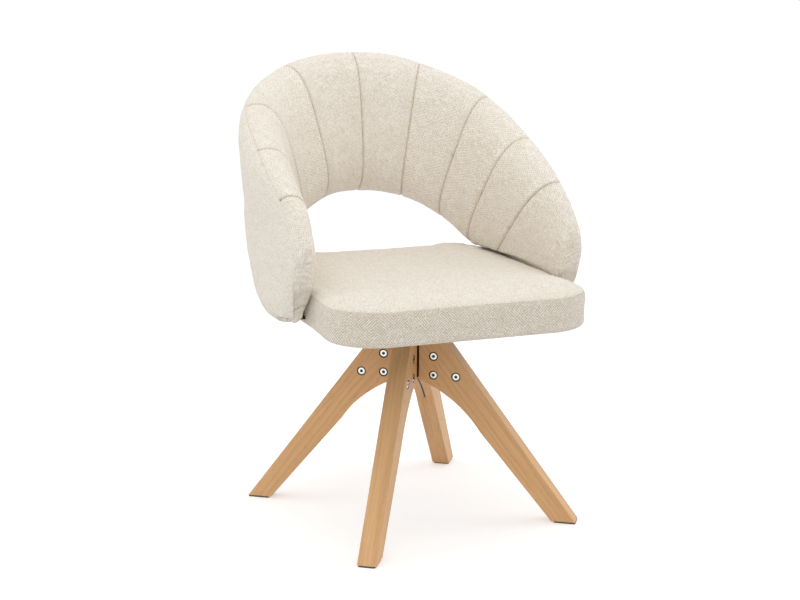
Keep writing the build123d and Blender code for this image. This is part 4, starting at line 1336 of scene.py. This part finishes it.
# ---- studio -----------------------------------------------------------------------------------------------
@dataclass
class Studio:
    """A pale floor, soft light and the photograph's camera."""

    eye: tuple[float, float, float] = (-1.092, -2.704, 1.0365)
    look: tuple[float, float, float] = (0.3597, 0.9087, -0.2109)
    roll: float = 0.0038
    lens: float = 71.92
    sensor: float = 36.0
    lit_height: float = 0.45
    ambient: float = 0.80
    floor_glow: float = 0.40
    floor_reach: float = 30.0

    def build(self) -> None:
        """Build the floor, the sky, the lamps and the camera."""
        self._floor()
        self._sky()
        right, up, ahead = self._axes()
        target = Vector((0, 0, self.lit_height))
        level = Vector((ahead.x, ahead.y, 0)).normalized()
        above = Vector((0, 0, 1))
        for name, away, size, power in (
                ("top_softbox", above * 2.4 - level * 0.3, 2.2, 15.5),
                ("right_softbox", right * 2.3 + above * 1.1 + level * 0.6, 1.6, 11.0),
                ("left_softbox", -right * 2.3 + above * 0.9 + level * 0.2, 1.6, 8.0),
                ("front_fill", -level * 3.0 + up * 0.9 - right * 0.5, 2.0, 5.5)):
            self._lamp(name, target, away, size, power)
        self._camera()
        bpy.context.scene.view_settings.view_transform = "Standard"

    def _axes(self) -> tuple[Vector, Vector, Vector]:
        """Return the camera's directions to its right, up and ahead."""
        ahead = Vector(self.look).normalized()
        right = ahead.cross(Vector((0, 0, 1))).normalized()
        up = right.cross(ahead)
        turned = right * math.cos(self.roll) + up * math.sin(self.roll)
        return turned, turned.cross(ahead), ahead

    def _camera(self) -> None:
        """Set the camera at the photograph's place."""
        right, up, ahead = self._axes()
        data = bpy.data.cameras.new("photo_view")
        data.lens, data.sensor_width = self.lens, self.sensor
        camera = bpy.data.objects.new("photo_view", data)
        camera.matrix_world = Matrix((
            (right.x, up.x, -ahead.x, self.eye[0]), (right.y, up.y, -ahead.y, self.eye[1]),
            (right.z, up.z, -ahead.z, self.eye[2]), (0, 0, 0, 1)))
        bpy.context.scene.collection.objects.link(camera)
        bpy.context.scene.camera = camera

    def _lamp(self, name: str, target: Vector, away: Vector, size: float, power: float) -> None:
        """Hang one square soft lamp.

        Args:
            name: Name of the lamp.
            target: What it faces.
            away: Where it hangs, seen from the target.
            size: Length of its side.
            power: Power in watts.
        """
        data = bpy.data.lights.new(name, "AREA")
        data.shape, data.size, data.energy = "SQUARE", size, power
        lamp = bpy.data.objects.new(name, data)
        facing = (-away).to_track_quat("-Z", "Y").to_matrix().to_4x4()
        lamp.matrix_world = Matrix.Translation(target + away) @ facing
        bpy.context.scene.collection.objects.link(lamp)

    def _floor(self) -> None:
        """Lay a wide pale floor that keeps the shadows."""
        corners = np.array([(-1, -1, 0), (1, -1, 0), (1, 1, 0), (-1, 1, 0)])
        floor = make_mesh("floor", corners * self.floor_reach, [(0, 1, 2, 3)])
        sheet = FinishSheet("pale_floor")
        sheet.surface((0.80, 0.80, 0.80), 0.9, Specular_IOR_Level=0.0)
        strength = sheet.maths("MULTIPLY", sheet.seen(), self.floor_glow)
        glow = sheet.add("Emission", {"Color": (1, 1, 1), "Strength": strength})
        both = sheet.add("AddShader", {0: sheet.shader.outputs[0], 1: glow.outputs[0]})
        sheet.put(both.outputs[0], sheet.output.inputs["Surface"])
        dress(floor, sheet.material)

    def _sky(self) -> None:
        """Light evenly all round, and show white behind the object."""
        world = bpy.data.worlds.new("studio")
        bpy.context.scene.world = world
        sheet = NodeSheet(world)
        strength = sheet.weighted((sheet.seen(), 1.0 - self.ambient), base=self.ambient)
        glow = sheet.add("Background", {"Color": (1, 1, 1), "Strength": strength})
        sheet.add("OutputWorld", {"Surface": glow.outputs[0]})


def main() -> None:
    """Build every piece of the chair and its studio."""
    logging.basicConfig(level=logging.INFO, format="%(message)s")
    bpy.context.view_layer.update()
    Studio().build()
    LOG.info("studio built")
    seat = SeatCushion()
    seat.build()
    # The border's chevron weave is its own, but its darker yarn and stronger contrast are painted shade: the
    # border gets less light than the top.
    seat.dress(WovenCloth("cream_weave_seat"), WovenCloth(
        "cream_weave_border", WeavePattern.CHEVRON, yarn=(0.860, 0.808, 0.722), pitch=0.0036, ribs=0.68,
        contrast=0.95))
    LOG.info("seat built: %s", ", ".join(piece.name for piece in seat.pieces))
    back = HoopBack(seat)
    back.build()
    back.dress(WovenCloth("cream_weave_back"))
    LOG.info("back built: %s", ", ".join(piece.name for piece in back.pieces))
    under = DustCloth(seat)
    under.build()
    under.dress(FeltedCloth("dust_cloth"), PlatedMetal("staple_wire", (0.55, 0.55, 0.56), 0.35))
    LOG.info("underside built: %s", ", ".join(piece.name for piece in under.pieces))
    OakBase().dress(frame["nodes"])
    LOG.info("base dressed")


if __name__ == "__main__":
    main()
